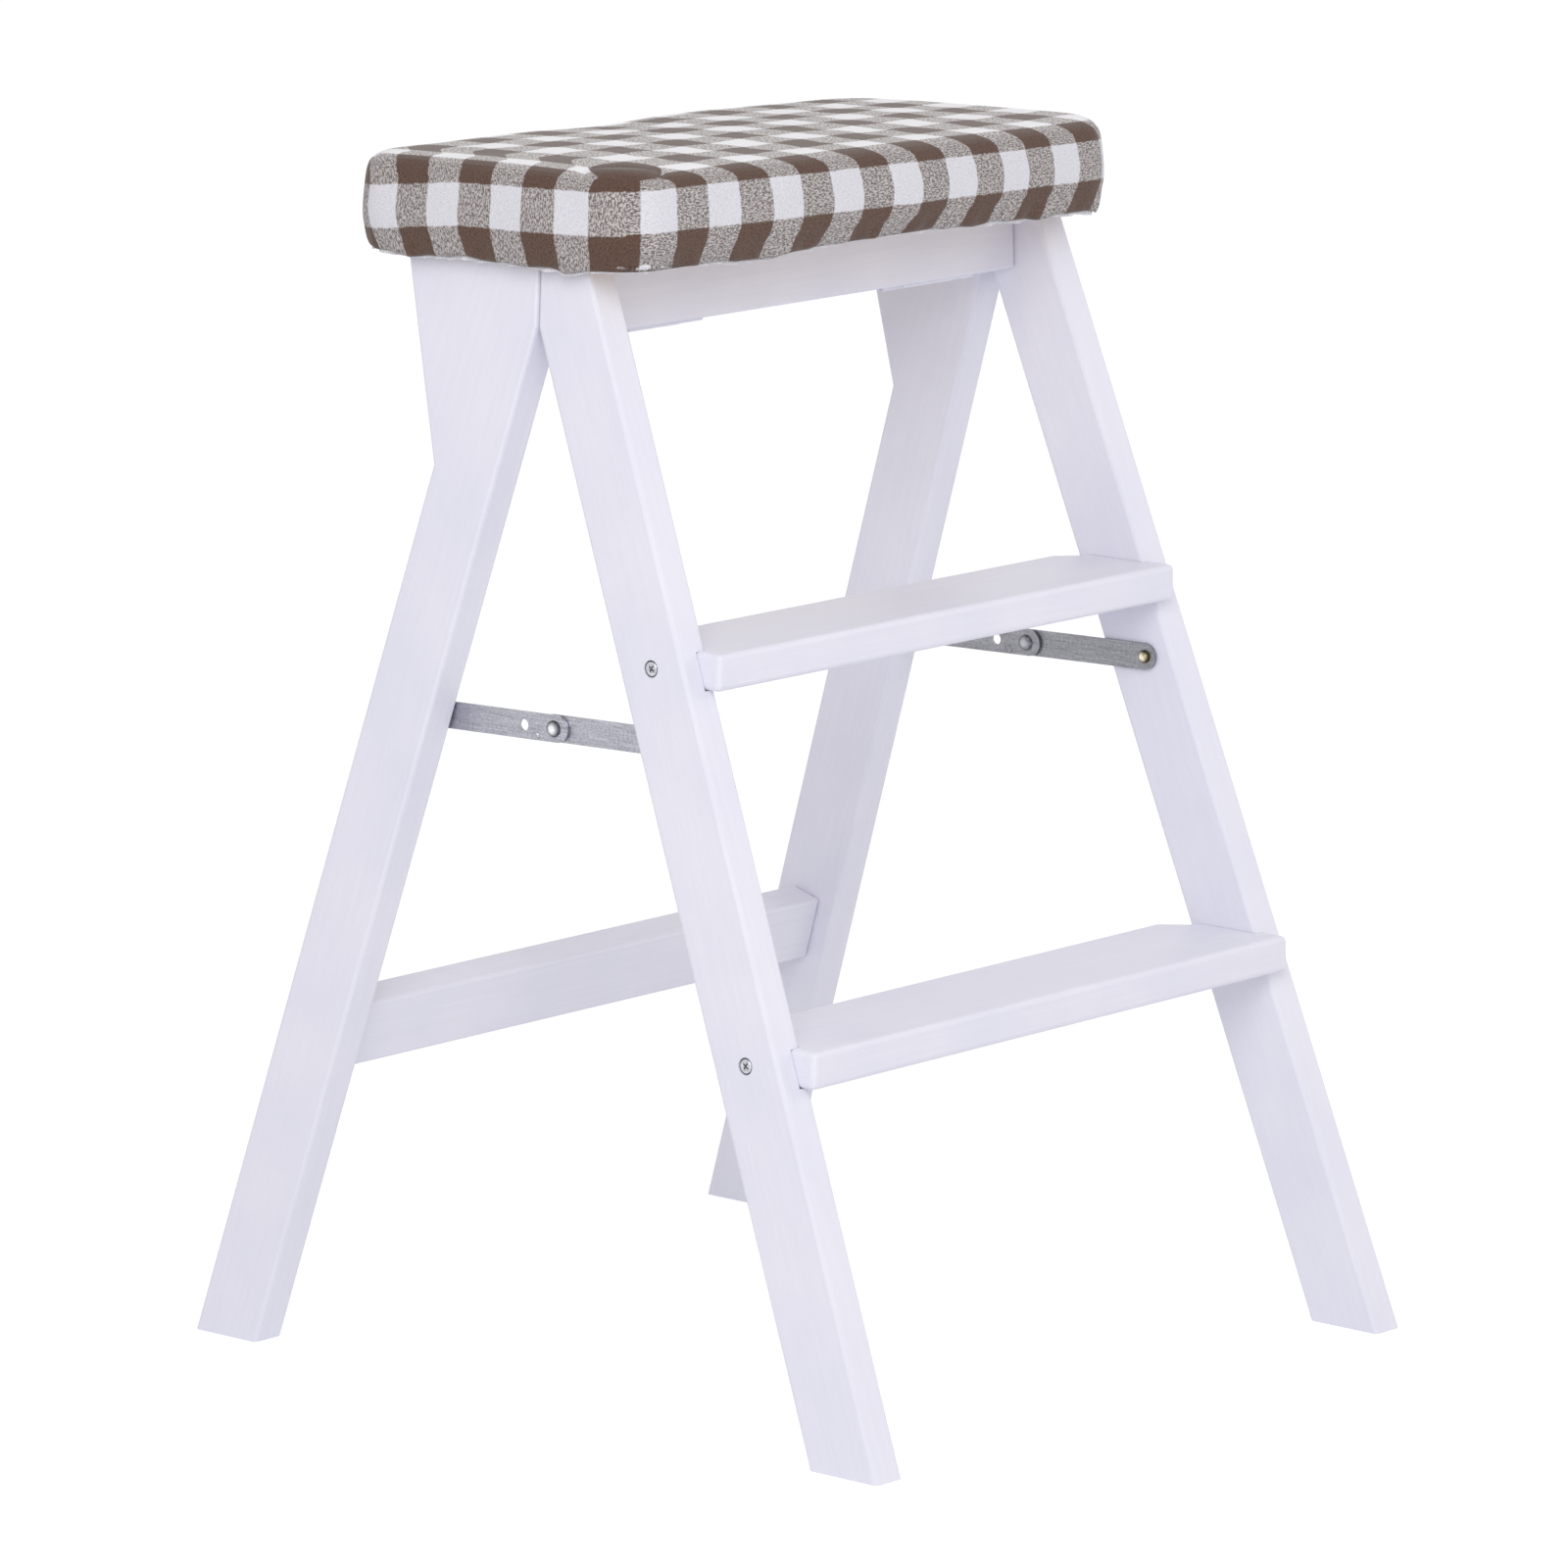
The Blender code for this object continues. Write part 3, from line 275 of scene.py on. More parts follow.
# Yarn-dyed gingham in a coarse plain weave of brown and off-white slub yarn. Where brown crosses
# white the two show together as a speckled grey-brown. The cloth is dry and matt with a low fuzz.
def gingham():
    """Colour from the cloth's own map, in metres along its two yarn directions.

    A stripe is dark where the count of checks from the first line is odd. The number of dark
    stripes that cross at a point, 0 to 2, picks off-white, the speckled mix, or brown. All of the
    puffed check counts as 2.
    """
    material, tree, out = start_material("brown_gingham")
    cloth = add(tree, "ShaderNodeUVMap", uv_map="cloth").outputs[0]
    # The stripes' edges waver, as woven ones do
    inputs = {"Vector": cloth, "Scale": 160.0, "Detail": 2.0}
    wobble = add(tree, "ShaderNodeTexNoise", inputs).outputs["Color"]
    centred = vector_calc(tree, "SUBTRACT", wobble, (0.5, 0.5, 0.5))
    shift = vector_calc(tree, "MULTIPLY", centred, (WAVER,) * 3)
    moved = vector_calc(tree, "ADD", cloth, shift)
    stripes = []
    for axis in (0, 1):
        from_line = calc(tree, "SUBTRACT", part_of(tree, moved, axis), FIRST_LINE)
        stripes.append(ramp(tree, wave(tree, from_line, 2 * CHECK), EDGE_BLEND, -EDGE_BLEND))
    # The puffed check, an ellipse seen from above, ends at the fold below it
    spot = vector_calc(tree, "ADD", object_place(tree), shift)
    inputs = {"Vector": vector_calc(tree, "MULTIPLY", spot, (1, 1, 0)),
              "Location": (SEAT_MID.x + PUFF_AT[0], SEAT_MID.y + PUFF_AT[1], 0),
              "Rotation": (0, 0, PUFF_TURN), "Scale": (*PUFF_AXES, 1)}
    oval = add(tree, "ShaderNodeMapping", inputs, vector_type="TEXTURE").outputs[0]
    inside = ramp(tree, vector_calc(tree, "LENGTH", oval), 1 + PUFF_BLEND, 1 - PUFF_BLEND)
    above = ramp(tree, part_of(tree, spot, 2), FOLD_Z - FOLD_BLEND, FOLD_Z + FOLD_BLEND)
    puff = calc(tree, "MULTIPLY", inside, above)
    stripes = [calc(tree, "MAXIMUM", stripe, puff) for stripe in stripes]
    # Where brown and white cross, one yarn lies over the other by turns
    yarns = [noise(tree, stretch(tree, cloth, scale), 1.0, 1.5, Roughness=0.6, Distortion=0.4)
             for scale in YARNS]
    over = calc(tree, "SUBTRACT", yarns[0], calc(tree, "MULTIPLY", yarns[1], 0.45))
    speck = ramp(tree, over, 0.19, 0.37)
    slub = calc(tree, "ADD", *yarns)
    tint = ramp(tree, slub, 0.75, 1.25)
    # Painted light: the seat's top, which faces up, gets paler white yarn and a paler mix than the
    # sides, standing in for the stronger light it takes from above
    painted_top_light = ramp(tree, upward(tree), 0.75, 0.98)
    light = blend(tree, painted_top_light, blend(tree, tint, "#CFCDD4", "#E4E2E9"), "#FAF8FB")
    mixed = blend(tree, speck, "#6E6563", blend(tree, painted_top_light, "#C4BEBD", "#E8E3E1"))
    dark = blend(tree, tint, "#4C3930", "#6A5247")
    grey = blend(tree, calc(tree, "MAXIMUM", *stripes), light, mixed)
    colour = blend(tree, calc(tree, "MINIMUM", *stripes), grey, dark)
    # A painted sheen pales the top a little towards white, but not the puffed check
    painted_sheen_share = calc(tree, "SUBTRACT", painted_top_light, puff, use_clamp=True)
    colour = blend(tree, calc(tree, "MULTIPLY", painted_sheen_share, PAINTED_SHEEN), colour, "#F6F4F7")
    surface(tree, out, {"Base Color": colour, "Roughness": 0.92, "Specular IOR Level": 0.2,
                        "Normal": relief(tree, slub, 0.5, 0.4 * MM),
                        "Sheen Weight": 0.2, "Sheen Roughness": 0.5})
    return material


# Knitted elastic edging: bright white, matt, with fine ribs across its width.
def elastic_edging():
    material, tree, out = start_material("elastic_edging")
    cloth = add(tree, "ShaderNodeUVMap", uv_map="cloth").outputs[0]
    # Ribs 1.2 mm apart
    rib = wave(tree, part_of(tree, cloth, 0), 1.2 * MM)
    colour = blend(tree, ramp(tree, rib, -1.0, 1.0), "#DAD8DE", "#F4F3F7")
    surface(tree, out, {"Base Color": colour, "Roughness": 0.9, "Sheen Weight": 0.2,
                        "Normal": relief(tree, rib, 0.4, 0.3 * MM)})
    return material


# ---- Mesh helpers

def link_piece(name, mesh, material, smooth=True):
    """An object at the origin for a mesh, with its finish."""
    if smooth:
        mesh.shade_smooth()
    mesh.materials.append(material)
    piece = bpy.data.objects.new(name, mesh)
    bpy.context.scene.collection.objects.link(piece)
    return piece


def make_piece(name, points, faces, material, uv=None, smooth=True):
    """An object from an array of points and an array of quads."""
    mesh = bpy.data.meshes.new(name)
    faces = np.asarray(faces, dtype=np.int32)
    mesh.vertices.add(len(points))
    mesh.vertices.foreach_set("co", np.asarray(points, dtype=np.float32).ravel())
    mesh.loops.add(faces.size)
    mesh.loops.foreach_set("vertex_index", faces.ravel())
    mesh.polygons.add(len(faces))
    mesh.polygons.foreach_set("loop_start", np.arange(len(faces), dtype=np.int32) * 4)
    mesh.update(calc_edges=True)
    mesh.validate()
    if uv is not None:
        layer = mesh.uv_layers.new(name="cloth")
        layer.data.foreach_set("uv", np.asarray(uv, dtype=np.float32).ravel())
    return link_piece(name, mesh, material, smooth)


def smooth_step(value, start, end):
    """0 before start, 1 after end and a smooth cubic between."""
    share = np.clip((value - start) / (end - start), 0, 1)
    return share * share * (3 - 2 * share)


def bell(x, y, at_x, at_y, reach):
    """A bell-shaped weight round a place, all in the same unit."""
    return np.exp(-((x - at_x) ** 2 + (y - at_y) ** 2) / reach ** 2)


def waves(angle, rows):
    """A sum of sines of an angle, each with its turns, size, phase, and the phase's own swing."""
    return sum(size * np.sin(turns * angle + phase + swing * np.sin(swing_turns * angle))
               for turns, size, phase, swing, swing_turns in rows)


# ---- Cushion

seat_low, seat_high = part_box("cushion_cover")
SEAT_MID = (seat_low + seat_high) / 2
# How far the middle of each long and each short side is bowed out
LONG_BOW = 5 * MM
SHORT_BOW = 2.5 * MM
HALF_X = (seat_high.x - seat_low.x) / 2 - SHORT_BOW
HALF_Y = (seat_high.y - seat_low.y) / 2 - LONG_BOW
CORNER = 30 * MM
HEM_Z = seat_low.z
# The sides take up the dome's rise from the board's top to this height
BOARD_TOP = 616.3 * MM
RISE_WHOLE = 638 * MM
# The rounded shoulder between top and side: its mean height, its size, the rings that draw it,
# and how far its foot lies inside the widest outline
EDGE_Z = 642 * MM
SHOULDER_WIDTH = 15 * MM
SHOULDER_DROP = 11 * MM
SHOULDER_RINGS = 8
TAPER = 2 * MM
# Rings below the shoulder: height and distance inside the widest outline, in millimetres, and
# share of the sides' bow. The last four turn in under the hem and go up beside the board.
PROFILE = ((627.5, 1.4, 1), (624, 1, 1), (620.5, 0.6, 1), (616.5, 0.3, 1), (612.5, 0.2, 1),
           (608.5, 0.4, 1), (605, 0.9, 0.7), (602, 1.7, 0.7), (599.5, 2.6, 0.7), (597.5, 3.5, 0.7),
           (596.2, 4.2, 0.5), (596.8, 4.6, 0.3), (599, 3.9, 0), (616, 3.9, 0))
TURNED_IN = 4
# Cells along the long and the short side of the top
CELLS_X = 104
CELLS_Y = 52
# The top's height at the seat's middle, in millimetres, and per tenth of a metre its slopes to
# the right and to the rear, and its falls with the square of each distance
TOP_HEIGHT = 644.66
TOP_SLOPES = (-1.41, -2.1)
TOP_FALLS = (-0.25, -2.18)
# Swells and hollows of the top: place from the seat's middle, reach and rise, in millimetres
SWELLS = ((-178, 88, 45, 0.6), (70, 88, 40, 0.5), (-10, 88, 35, -1.6), (190, -75, 40, 1.3),
          (-187, -82, 17, 1.6))
# The groove round the puffed corner: its middle, radius, half width and depth, in millimetres
GROOVE_AT = (-187, -82)
GROOVE_RADIUS = 24
GROOVE_WIDTH = 2.6
GROOVE_DEPTH = 1.3


def side_run(half, radius, count):
    """Arc lengths and (along, in) places from one corner's diagonal to the next.

    An eighth of a circle, a straight and another eighth. along runs from -half to half and in
    is how far the point lies inside the side's line. Points are evenly spaced in arc length.
    """
    quarter = radius * math.pi / 4
    total = 2 * quarter + 2 * (half - radius)
    s = np.linspace(0, total, count + 1)
    first = np.clip(s, 0, quarter) / radius + math.pi / 4
    last = np.clip(total - s, 0, quarter) / radius + math.pi / 4
    straight = np.clip(s - quarter, 0, total - 2 * quarter) - (half - radius)
    along = straight - radius * np.cos(first) + radius * np.cos(last)
    inward = 2 * radius - radius * (np.sin(first) + np.sin(last))
    return s, along, inward


def ring(inset, bow=1.0):
    """Plan points round the cushion at an inset, from the near left corner, counter-clockwise.

    Concentric rounded rectangles, whose sides are pushed out by a parabola that is highest at
    the middle of each side and nothing at its ends.
    """
    radius = CORNER - inset
    half_x = HALF_X - inset
    half_y = HALF_Y - inset
    _, along_x, in_x = side_run(half_x, radius, CELLS_X)
    _, along_y, in_y = side_run(half_y, radius, CELLS_Y)
    x = np.concatenate([along_x[:-1], (half_x - in_y)[:-1], -along_x[:-1], (in_y - half_x)[:-1]])
    y = np.concatenate([(in_x - half_y)[:-1], along_y[:-1], (half_y - in_x)[:-1], -along_y[:-1]])
    bowed_x = x * (1 + bow * SHORT_BOW / half_x * (1 - (y / half_y) ** 2))
    bowed_y = y * (1 + bow * LONG_BOW / half_y * (1 - (x / half_x) ** 2))
    return bowed_x, bowed_y


def patch(ring_x, ring_y):
    """Fills a ring with a grid by the Coons rule: opposite sides blended, less the corners."""
    nx, ny = CELLS_X, CELLS_Y
    u = np.linspace(0, 1, nx + 1)[None, :]
    v = np.linspace(0, 1, ny + 1)[:, None]
    filled = []
    for values in (ring_x, ring_y):
        front = values[:nx + 1][None, :]
        right = values[nx:nx + ny + 1][:, None]
        rear = values[nx + ny:2 * nx + ny + 1][::-1][None, :]
        left = np.append(values[2 * nx + ny:], values[0])[::-1][:, None]
        filled.append((1 - v) * front + v * rear + (1 - u) * left + u * right
                      - (1 - u) * (1 - v) * front[:, :1] - u * (1 - v) * front[:, -1:]
                      - (1 - u) * v * rear[:, :1] - u * v * rear[:, -1:])
    return filled


def top_height(x, y):
    """Height of the top at a place measured from the seat's middle, in metres.

    A low dome, a parabola in each direction, that leans down to the right and to the rear. Bell
    shaped swells stand on its border, and an arc-shaped groove bounds the puffed near corner.
    """
    along, across = x / 0.1, y / 0.1
    height = (TOP_HEIGHT + TOP_SLOPES[0] * along + TOP_SLOPES[1] * across
              + TOP_FALLS[0] * along ** 2 + TOP_FALLS[1] * across ** 2)
    for at_x, at_y, reach, rise in SWELLS:
        height = height + rise * bell(x / MM, y / MM, at_x, at_y, reach)
    out = np.hypot(x / MM - GROOVE_AT[0], y / MM - GROOVE_AT[1]) - GROOVE_RADIUS
    return (height - GROOVE_DEPTH * np.exp(-(out / GROOVE_WIDTH) ** 2)) * MM


def cushion_form():
    """Rings, top patch and cap patch of the closed cushion, before its small folds.

    The top is a Coons patch lifted to the dome. Its border runs on as rings: round the shoulder
    in a quarter ellipse, down the side, in under the gathered hem, up beside the board and
    across above it, where a second patch closes it. Each column of rings hangs from the dome's
    own height there, and the difference fades out at the board's top.
    """
    levels = []
    for step in range(SHOULDER_RINGS):
        angle = math.pi / 2 * step / (SHOULDER_RINGS - 1)
        levels.append((TAPER + SHOULDER_WIDTH * (1 - math.sin(angle)),
                       EDGE_Z - SHOULDER_DROP * (1 - math.cos(angle)), 1))
    levels += [(inset * MM, z * MM, bow) for z, inset, bow in PROFILE]
    rings = [ring(inset, bow) for inset, _, bow in levels]
    rings_x = np.array([r[0] for r in rings])
    rings_y = np.array([r[1] for r in rings])
    heights = np.array([z for _, z, _ in levels])
    rings_z = np.repeat(heights[:, None], rings_x.shape[1], axis=1)
    rise = top_height(rings_x[:1], rings_y[:1]) - EDGE_Z
    rings_z = rings_z + rise * smooth_step(rings_z, BOARD_TOP, RISE_WHOLE)
    top_x, top_y = patch(rings_x[0], rings_y[0])
    cap_x, cap_y = patch(rings_x[-1], rings_y[-1])
    # Length of cloth from the shoulder's top down to each ring
    steps = np.hypot(np.diff([inset for inset, _, _ in levels]), np.diff(heights))
    down = np.concatenate([[0], np.cumsum(steps)])
    return rings_x, rings_y, rings_z, top_x, top_y, cap_x, cap_y, heights[-1], down


# ---- The cloth's map: which place of the woven cloth lies where, all in millimetres

# Near the left edge the top's rows are dragged towards the near corner, by 18 mm at 188 mm from
# the middle, and round that corner the cloth is pulled outwards too
DRAG = 18
DRAG_FROM, DRAG_TO = 165, 188
PULL_AT = (-188, -82)
PULL_REACH = 22
PULL = (13, 8)
# The top's first row line, and the cloth used up for each millimetre in front of it and behind it
ROW_LINE = -76.07
FRONT_CROWD = 1.54
ROW_CROWD = 1.0175
# Places along the top, from the seat's middle, and the cloth's place that lies there
COLUMN_PLACES = (-213, -193, -180.5, -140, 120, 160, 213)
COLUMN_CLOTH = (-30.2, 7, 30.25, 65.4, 325.4, 369.4, 422.4)
# Heights of the first two lines below the shoulder, from the near left corner round to it again:
# side, share of the way along it, upper line, lower line
LINE_HEIGHTS = ((0, 0.0, 638.4, 617.0), (0, 0.08, 639.0, 617.0), (0, 1.0, 631.2, 610.3),
                (1, 0.0, 631.2, 610.3), (1, 1.0, 629.0, 607.0),
                (2, 0.0, 629.0, 607.0), (2, 1.0, 627.0, 604.9),
                (3, 0.0, 627.0, 604.9), (3, 0.09, 627.7, 605.4), (3, 0.41, 634.8, 612.2),
                (3, 1.0, 638.4, 616.0))
# Which line of the cloth meets each side's shoulder, and which way the lines count down from it
SHOULDER_LINES = ((30.25, 1), (402.25, 1), (-179.0, -1), (7.0, -1))
# How far from the seat's middle the front's and the left side's first line is pinned, measured
# over the cloth laid flat
PIN_FRONT = 91.2
PIN_LEFT = 193
# The fold under the puffed corner check, where the sides' lines start afresh
FOLD_AT = (-184, -83)
FOLD_REACH = 15
# The cloth's place at the right side's front end and at the rear's left end, and how much further
# on the left side's lines lie, at places along it from the near corner
RIGHT_START = 19.8
REAR_START = 11.5
LEFT_PLACES = (0, 50, 120, 165, 190)
LEFT_SHIFTS = (4.2, 4.2, 0, -4, -8)
# How far the front's lines bulge away from the near corner, below the shoulder and at mid height
BULGE_HIGH = 3
BULGE_LOW = 6
# How far the hem draws the lines back towards the near corner, on the front and the left side
DRAWN_FRONT = 8
DRAWN_LEFT = 4
# A slow sway of the lines: its size, and its millimetres to the radian down and along the cloth
SWAY = 1.5
SWAY_DOWN = 16
SWAY_ALONG = 71
# Lengths of cloth down the side between which the hem's pull sets in
HEM_PULL = (32, 56)


def top_cloth(x, y):
    """Place on the cloth, in millimetres, of a point of the top given from the seat's middle.

    The yarns follow X and Y. Towards the front and the left edge the rows crowd together, and
    near the left edge they are dragged towards the near corner. The cloth's finish draws the
    one brown check that puffs over its neighbours there.
    """
    x = x / MM
    y = y / MM
    drag = DRAG * smooth_step(-x, DRAG_FROM, DRAG_TO)
    pull = bell(x, y, *PULL_AT, PULL_REACH)
    x = x + PULL[0] * pull
    y = y + drag + PULL[1] * pull
    crowd = np.where(y < ROW_LINE, FRONT_CROWD, ROW_CROWD)
    across = FIRST_LINE / MM - crowd * (y - ROW_LINE)
    return np.interp(x, COLUMN_PLACES, COLUMN_CLOTH), across


def crossing(height, down, level):
    """Length of cloth down to the point of each column that lies at the given height."""
    below = np.clip((height > level).sum(axis=0), 1, len(height) - 1)
    column = np.arange(height.shape[1])
    upper, lower = height[below - 1, column], height[below, column]
    share = np.clip((upper - level) / (upper - lower), 0, 1)
    return down[below - 1] + share * (down[below] - down[below - 1])


def side_cloth(side, s, down, height, rim_x, rim_y):
    """Place on the cloth, in millimetres, of one side's grid of rings by columns.

    Downwards the lines are pinned at the shoulder and at two heights, with even cloth between
    them. Along the edge the lines leave the top where the top's own lines end, bulge away from
    the near corner at mid height and are drawn back to it at the gathered hem.
    """
    s = s[None, :] / MM
    t = down[:, None] / MM
    outside = height[:-TURNED_IN] / MM
    length = s[0, -1]
    share = s[0] / length
    _, places, upper, lower = zip(*[row for row in LINE_HEIGHTS if row[0] == side])
    first = crossing(outside, t[:, 0], np.interp(share, places, upper))
    second = crossing(outside, t[:, 0], np.interp(share, places, lower))
    along_top, across_top = top_cloth(rim_x, rim_y)
    start, aside = (along_top, across_top) if side in (1, 3) else (across_top, along_top)
    line, count = SHOULDER_LINES[side]
    edge = count * (line - start)
    flat = {0: rim_y / MM + PIN_FRONT, 3: rim_x / MM + PIN_LEFT}.get(side, edge)
    pinned = np.clip(flat, 1.5, first - 5)
    folded = np.hypot(rim_x / MM - FOLD_AT[0], rim_y / MM - FOLD_AT[1]) < FOLD_REACH
    start = np.where(folded, line, start)
    edge = np.where(folded, 0, edge)
    pinned = np.where(folded, 0.01, pinned)
    rows = start + count * (edge * np.clip(t / pinned, 0, 1)
                            + CHECK / MM * np.clip((t - pinned) / (first - pinned), 0, 1)
                            + CHECK / MM * np.clip((t - first) / (second - first), 0, 1)
                            + np.maximum(t - second, 0))

    arch = np.sin(math.pi * share)
    middle = smooth_step(t, first, first + 10)
    hem = smooth_step(t, *HEM_PULL)
    near = s if side in (0, 1) else length - s
    sway = np.sin(t / SWAY_DOWN) * np.sin(near / SWAY_ALONG + 0.6)
    sway = SWAY * sway * smooth_step(near, 0, 40)
    if side == 0:
        fading = 1 - 0.5 * smooth_step(near, length / 2, length)
        drawn = DRAWN_FRONT * hem * smooth_step(near, 0, 70) * fading
        bulge = (1 - middle) * (0.4 + BULGE_HIGH * arch) + middle * BULGE_LOW * arch
        wanted = s - bulge + drawn + sway
    elif side == 1:
        wanted = RIGHT_START - ROW_CROWD * s - sway
    elif side == 2:
        wanted = near + REAR_START + sway
    else:
        drawn = DRAWN_LEFT * hem * smooth_step(near, 0, 50)
        wanted = np.interp(near, LEFT_PLACES, LEFT_SHIFTS) - near - drawn - sway
    leave = np.where(folded, 1, smooth_step(t, 0, first))
    columns = (1 - leave) * aside + leave * wanted
    return (rows, columns) if side in (1, 3) else (columns, rows)


# ---- The cushion's small folds

# How far the hem stands above its mean height round the seat, in millimetres: place along the
# edge from the near left corner, as a share of the front side up to 1 and of the left side below 0
HEM_STEPS = ((-1.0, -2.0), (-0.83, -3.3), (-0.63, -1.4), (-0.37, -0.5), (-0.19, -2.3), (0.0, 3.5),
             (0.136, 1.3), (0.224, -1.3), (0.36, 0.4), (0.497, 1.9), (0.706, -0.5), (0.826, -2.2),
             (0.918, -2.6), (1.0, -4.5))
# Waves round the seat, as waves() takes them: gathers at the hem, rolls at mid height, the way
# the crease and the hem wander, and the elastic's scallops
GATHERS = ((79, 1, 0, 1.3, 7), (53, 0.6, 0, 2, 5), (31, 0.5, 0.7, 0, 0))
ROLLS = ((13, 1, 0, 1.1, 4), (21, 0.6, 2.1, 0, 0))
CREASE_WAVES = ((5, 0.4, 0, 0, 0), (11, 0.3, 1, 0, 0))
HEM_WAVES = ((17, 0.7, 0, 1, 3), (41, 0.5, 0, 0, 0))
SCALLOPS = ((106, 1, 0, 1.5, 9), (61, 0.35, 0, 0, 0))
GATHER_SIZE = 0.55 * MM
ROLL_SIZE = 0.45 * MM
# Heights between which the gathers fade out upwards, the rolls begin, and the rolls end
GATHER_FADE = (598 * MM, 607 * MM)
ROLL_START = (600 * MM, 612 * MM)
ROLL_END = (626 * MM, 640 * MM)
# Tucks at the corners: depth and half width
TUCK_DEPTH = 1 * MM
TUCK_WIDTH = 2.2 * MM
# The crease below the shoulder: its height at the near corner, how far it falls along the front,
# its depth and half width
CREASE_Z = 641.2 * MM
CREASE_FALL = 7.5 * MM
CREASE_DEPTH = 0.6 * MM
CREASE_WIDTH = 0.9 * MM
# Height of the top's unevenness, and the cells over which it fades at the border
SOFT_SIZE = 0.4 * MM
SOFT_BORDER = 6


def hem_wander(s, long_side, short_side):
    """Rise of the hem above its mean height, in millimetres, at a place along the edge."""
    perimeter = 2 * (long_side + short_side)
    share = np.where(s <= long_side, s / long_side, (s - perimeter) / short_side)
    rise = np.interp(share, *zip(*HEM_STEPS))
    # Where the steps give no height, on the right and at the rear, it has even waves
    behind = (s > long_side) & (share < -1)
    return np.where(behind, -3.5 + np.sin(10 * math.pi * s / perimeter), rise)


def quads(ids):
    """The faces of a grid of point numbers."""
    return np.stack([ids[:-1, :-1], ids[:-1, 1:], ids[1:, 1:], ids[1:, :-1]], -1).reshape(-1, 4)


def build_cushion(material):
    """Joins the patches and rings, adds the small folds and returns the cushion's object."""
    rings_x, rings_y, rings_z, top_x, top_y, cap_x, cap_y, cap_height, down = cushion_form()
    nx, ny = CELLS_X, CELLS_Y
    around = 2 * (nx + ny)
    count = len(rings_x)
    s_x, _, _ = side_run(HALF_X, CORNER, nx)
    s_y, _, _ = side_run(HALF_Y, CORNER, ny)
    long_side, short_side = s_x[-1], s_y[-1]
    # Places along the edge where the four sides begin, and where the last one ends
    ends = np.cumsum([0, long_side, short_side, long_side, short_side])
    perimeter = ends[-1]
    s_around = np.concatenate([begin + s[:-1] for begin, s in zip(ends, (s_x, s_y, s_x, s_y))])
    rim_x, rim_y = rings_x[0], rings_y[0]
    plain_height = rings_z.copy()

    # Gathers that grow towards the hem, and softer rolls above them
    angle = s_around / perimeter * 2 * math.pi
    near_hem = 1 - smooth_step(plain_height, *GATHER_FADE)
    from_hem = smooth_step(plain_height, *ROLL_START)
    mid_side = from_hem * (1 - smooth_step(plain_height, *ROLL_END))
    push = (near_hem * waves(angle, GATHERS) * GATHER_SIZE
            + mid_side * waves(angle, ROLLS) * ROLL_SIZE)
    # Tucks at the corners' diagonals, but none at the near corner
    to_end = np.min(np.abs(s_around[:, None] - ends[None, :]), axis=1)
    tucked = (s_around > CORNER) & (s_around < perimeter - CORNER)
    push = push - TUCK_DEPTH * np.exp(-(to_end / TUCK_WIDTH) ** 2) * tucked * from_hem
    # A low crease just below the shoulder, which falls along the front and is high again at left
    fall = smooth_step(s_around, 0, long_side) * (s_around < ends[3])
    crease_at = CREASE_Z - CREASE_FALL * fall + waves(angle, CREASE_WAVES) * MM
    push = push - CREASE_DEPTH * np.exp(-((plain_height - crease_at) / CREASE_WIDTH) ** 2)
    # Nothing moves on the rings that go up beside the board
    moving = np.arange(count)[:, None] < count - TURNED_IN + 1
    out_x = np.gradient(rings_y, axis=1)
    out_y = -np.gradient(rings_x, axis=1)
    size = np.maximum(np.hypot(out_x, out_y), 1e-9)
    rings_x = rings_x + push * moving * out_x / size
    rings_y = rings_y + push * moving * out_y / size

    # The hem wanders up and down, and dips a little between its gathers
    wander = hem_wander(s_around, long_side, short_side) + waves(angle, HEM_WAVES)
    rings_z = rings_z + near_hem * moving * MM * wander
    # The sat-on top is uneven: waves of 50 to 65 mm each way, bent by slower ones
    soft = (np.sin(top_x * 95 + 2 * np.sin(top_y * 60))
            * np.sin(top_y * 120 + 1.5 * np.sin(top_x * 45)))
    for cells, shape in ((nx, (1, -1)), (ny, (-1, 1))):
        cell = np.arange(cells + 1).reshape(shape)
        soft = soft * np.minimum(1, np.minimum(cell, cells - cell) / SOFT_BORDER)
    top_z = top_height(top_x, top_y) + SOFT_SIZE * soft

    # One array of points: the top patch, then the rings below it, then the inside of the cap patch
    top_points = np.stack([top_x, top_y, top_z], -1).reshape(-1, 3)
    ring_points = np.stack([rings_x[1:], rings_y[1:], rings_z[1:]], -1).reshape(-1, 3)
    cap_z = np.full_like(cap_x, cap_height)
    cap_points = np.stack([cap_x, cap_y, cap_z], -1)[1:-1, 1:-1].reshape(-1, 3)
    points = np.concatenate([top_points, ring_points, cap_points])
    points[:, :2] += SEAT_MID.xy

    grid = np.arange((nx + 1) * (ny + 1)).reshape(ny + 1, nx + 1)
    border_ids = np.concatenate([grid[0, :-1], grid[:-1, -1], grid[-1, :0:-1], grid[:0:-1, 0]])
    below_ids = len(top_points) + np.arange(around * (count - 1)).reshape(-1, around)
    ring_ids = np.concatenate([border_ids[None, :], below_ids])
    cap_grid = np.empty_like(grid)
    cap_start = len(top_points) + len(ring_points)
    cap_grid[1:-1, 1:-1] = cap_start + np.arange((nx - 1) * (ny - 1)).reshape(ny - 1, nx - 1)
    last = ring_ids[-1]
    cap_grid[0, :-1] = last[:nx]
    cap_grid[:-1, -1] = last[nx:nx + ny]
    cap_grid[-1, :0:-1] = last[nx + ny:2 * nx + ny]
    cap_grid[:0:-1, 0] = last[2 * nx + ny:]

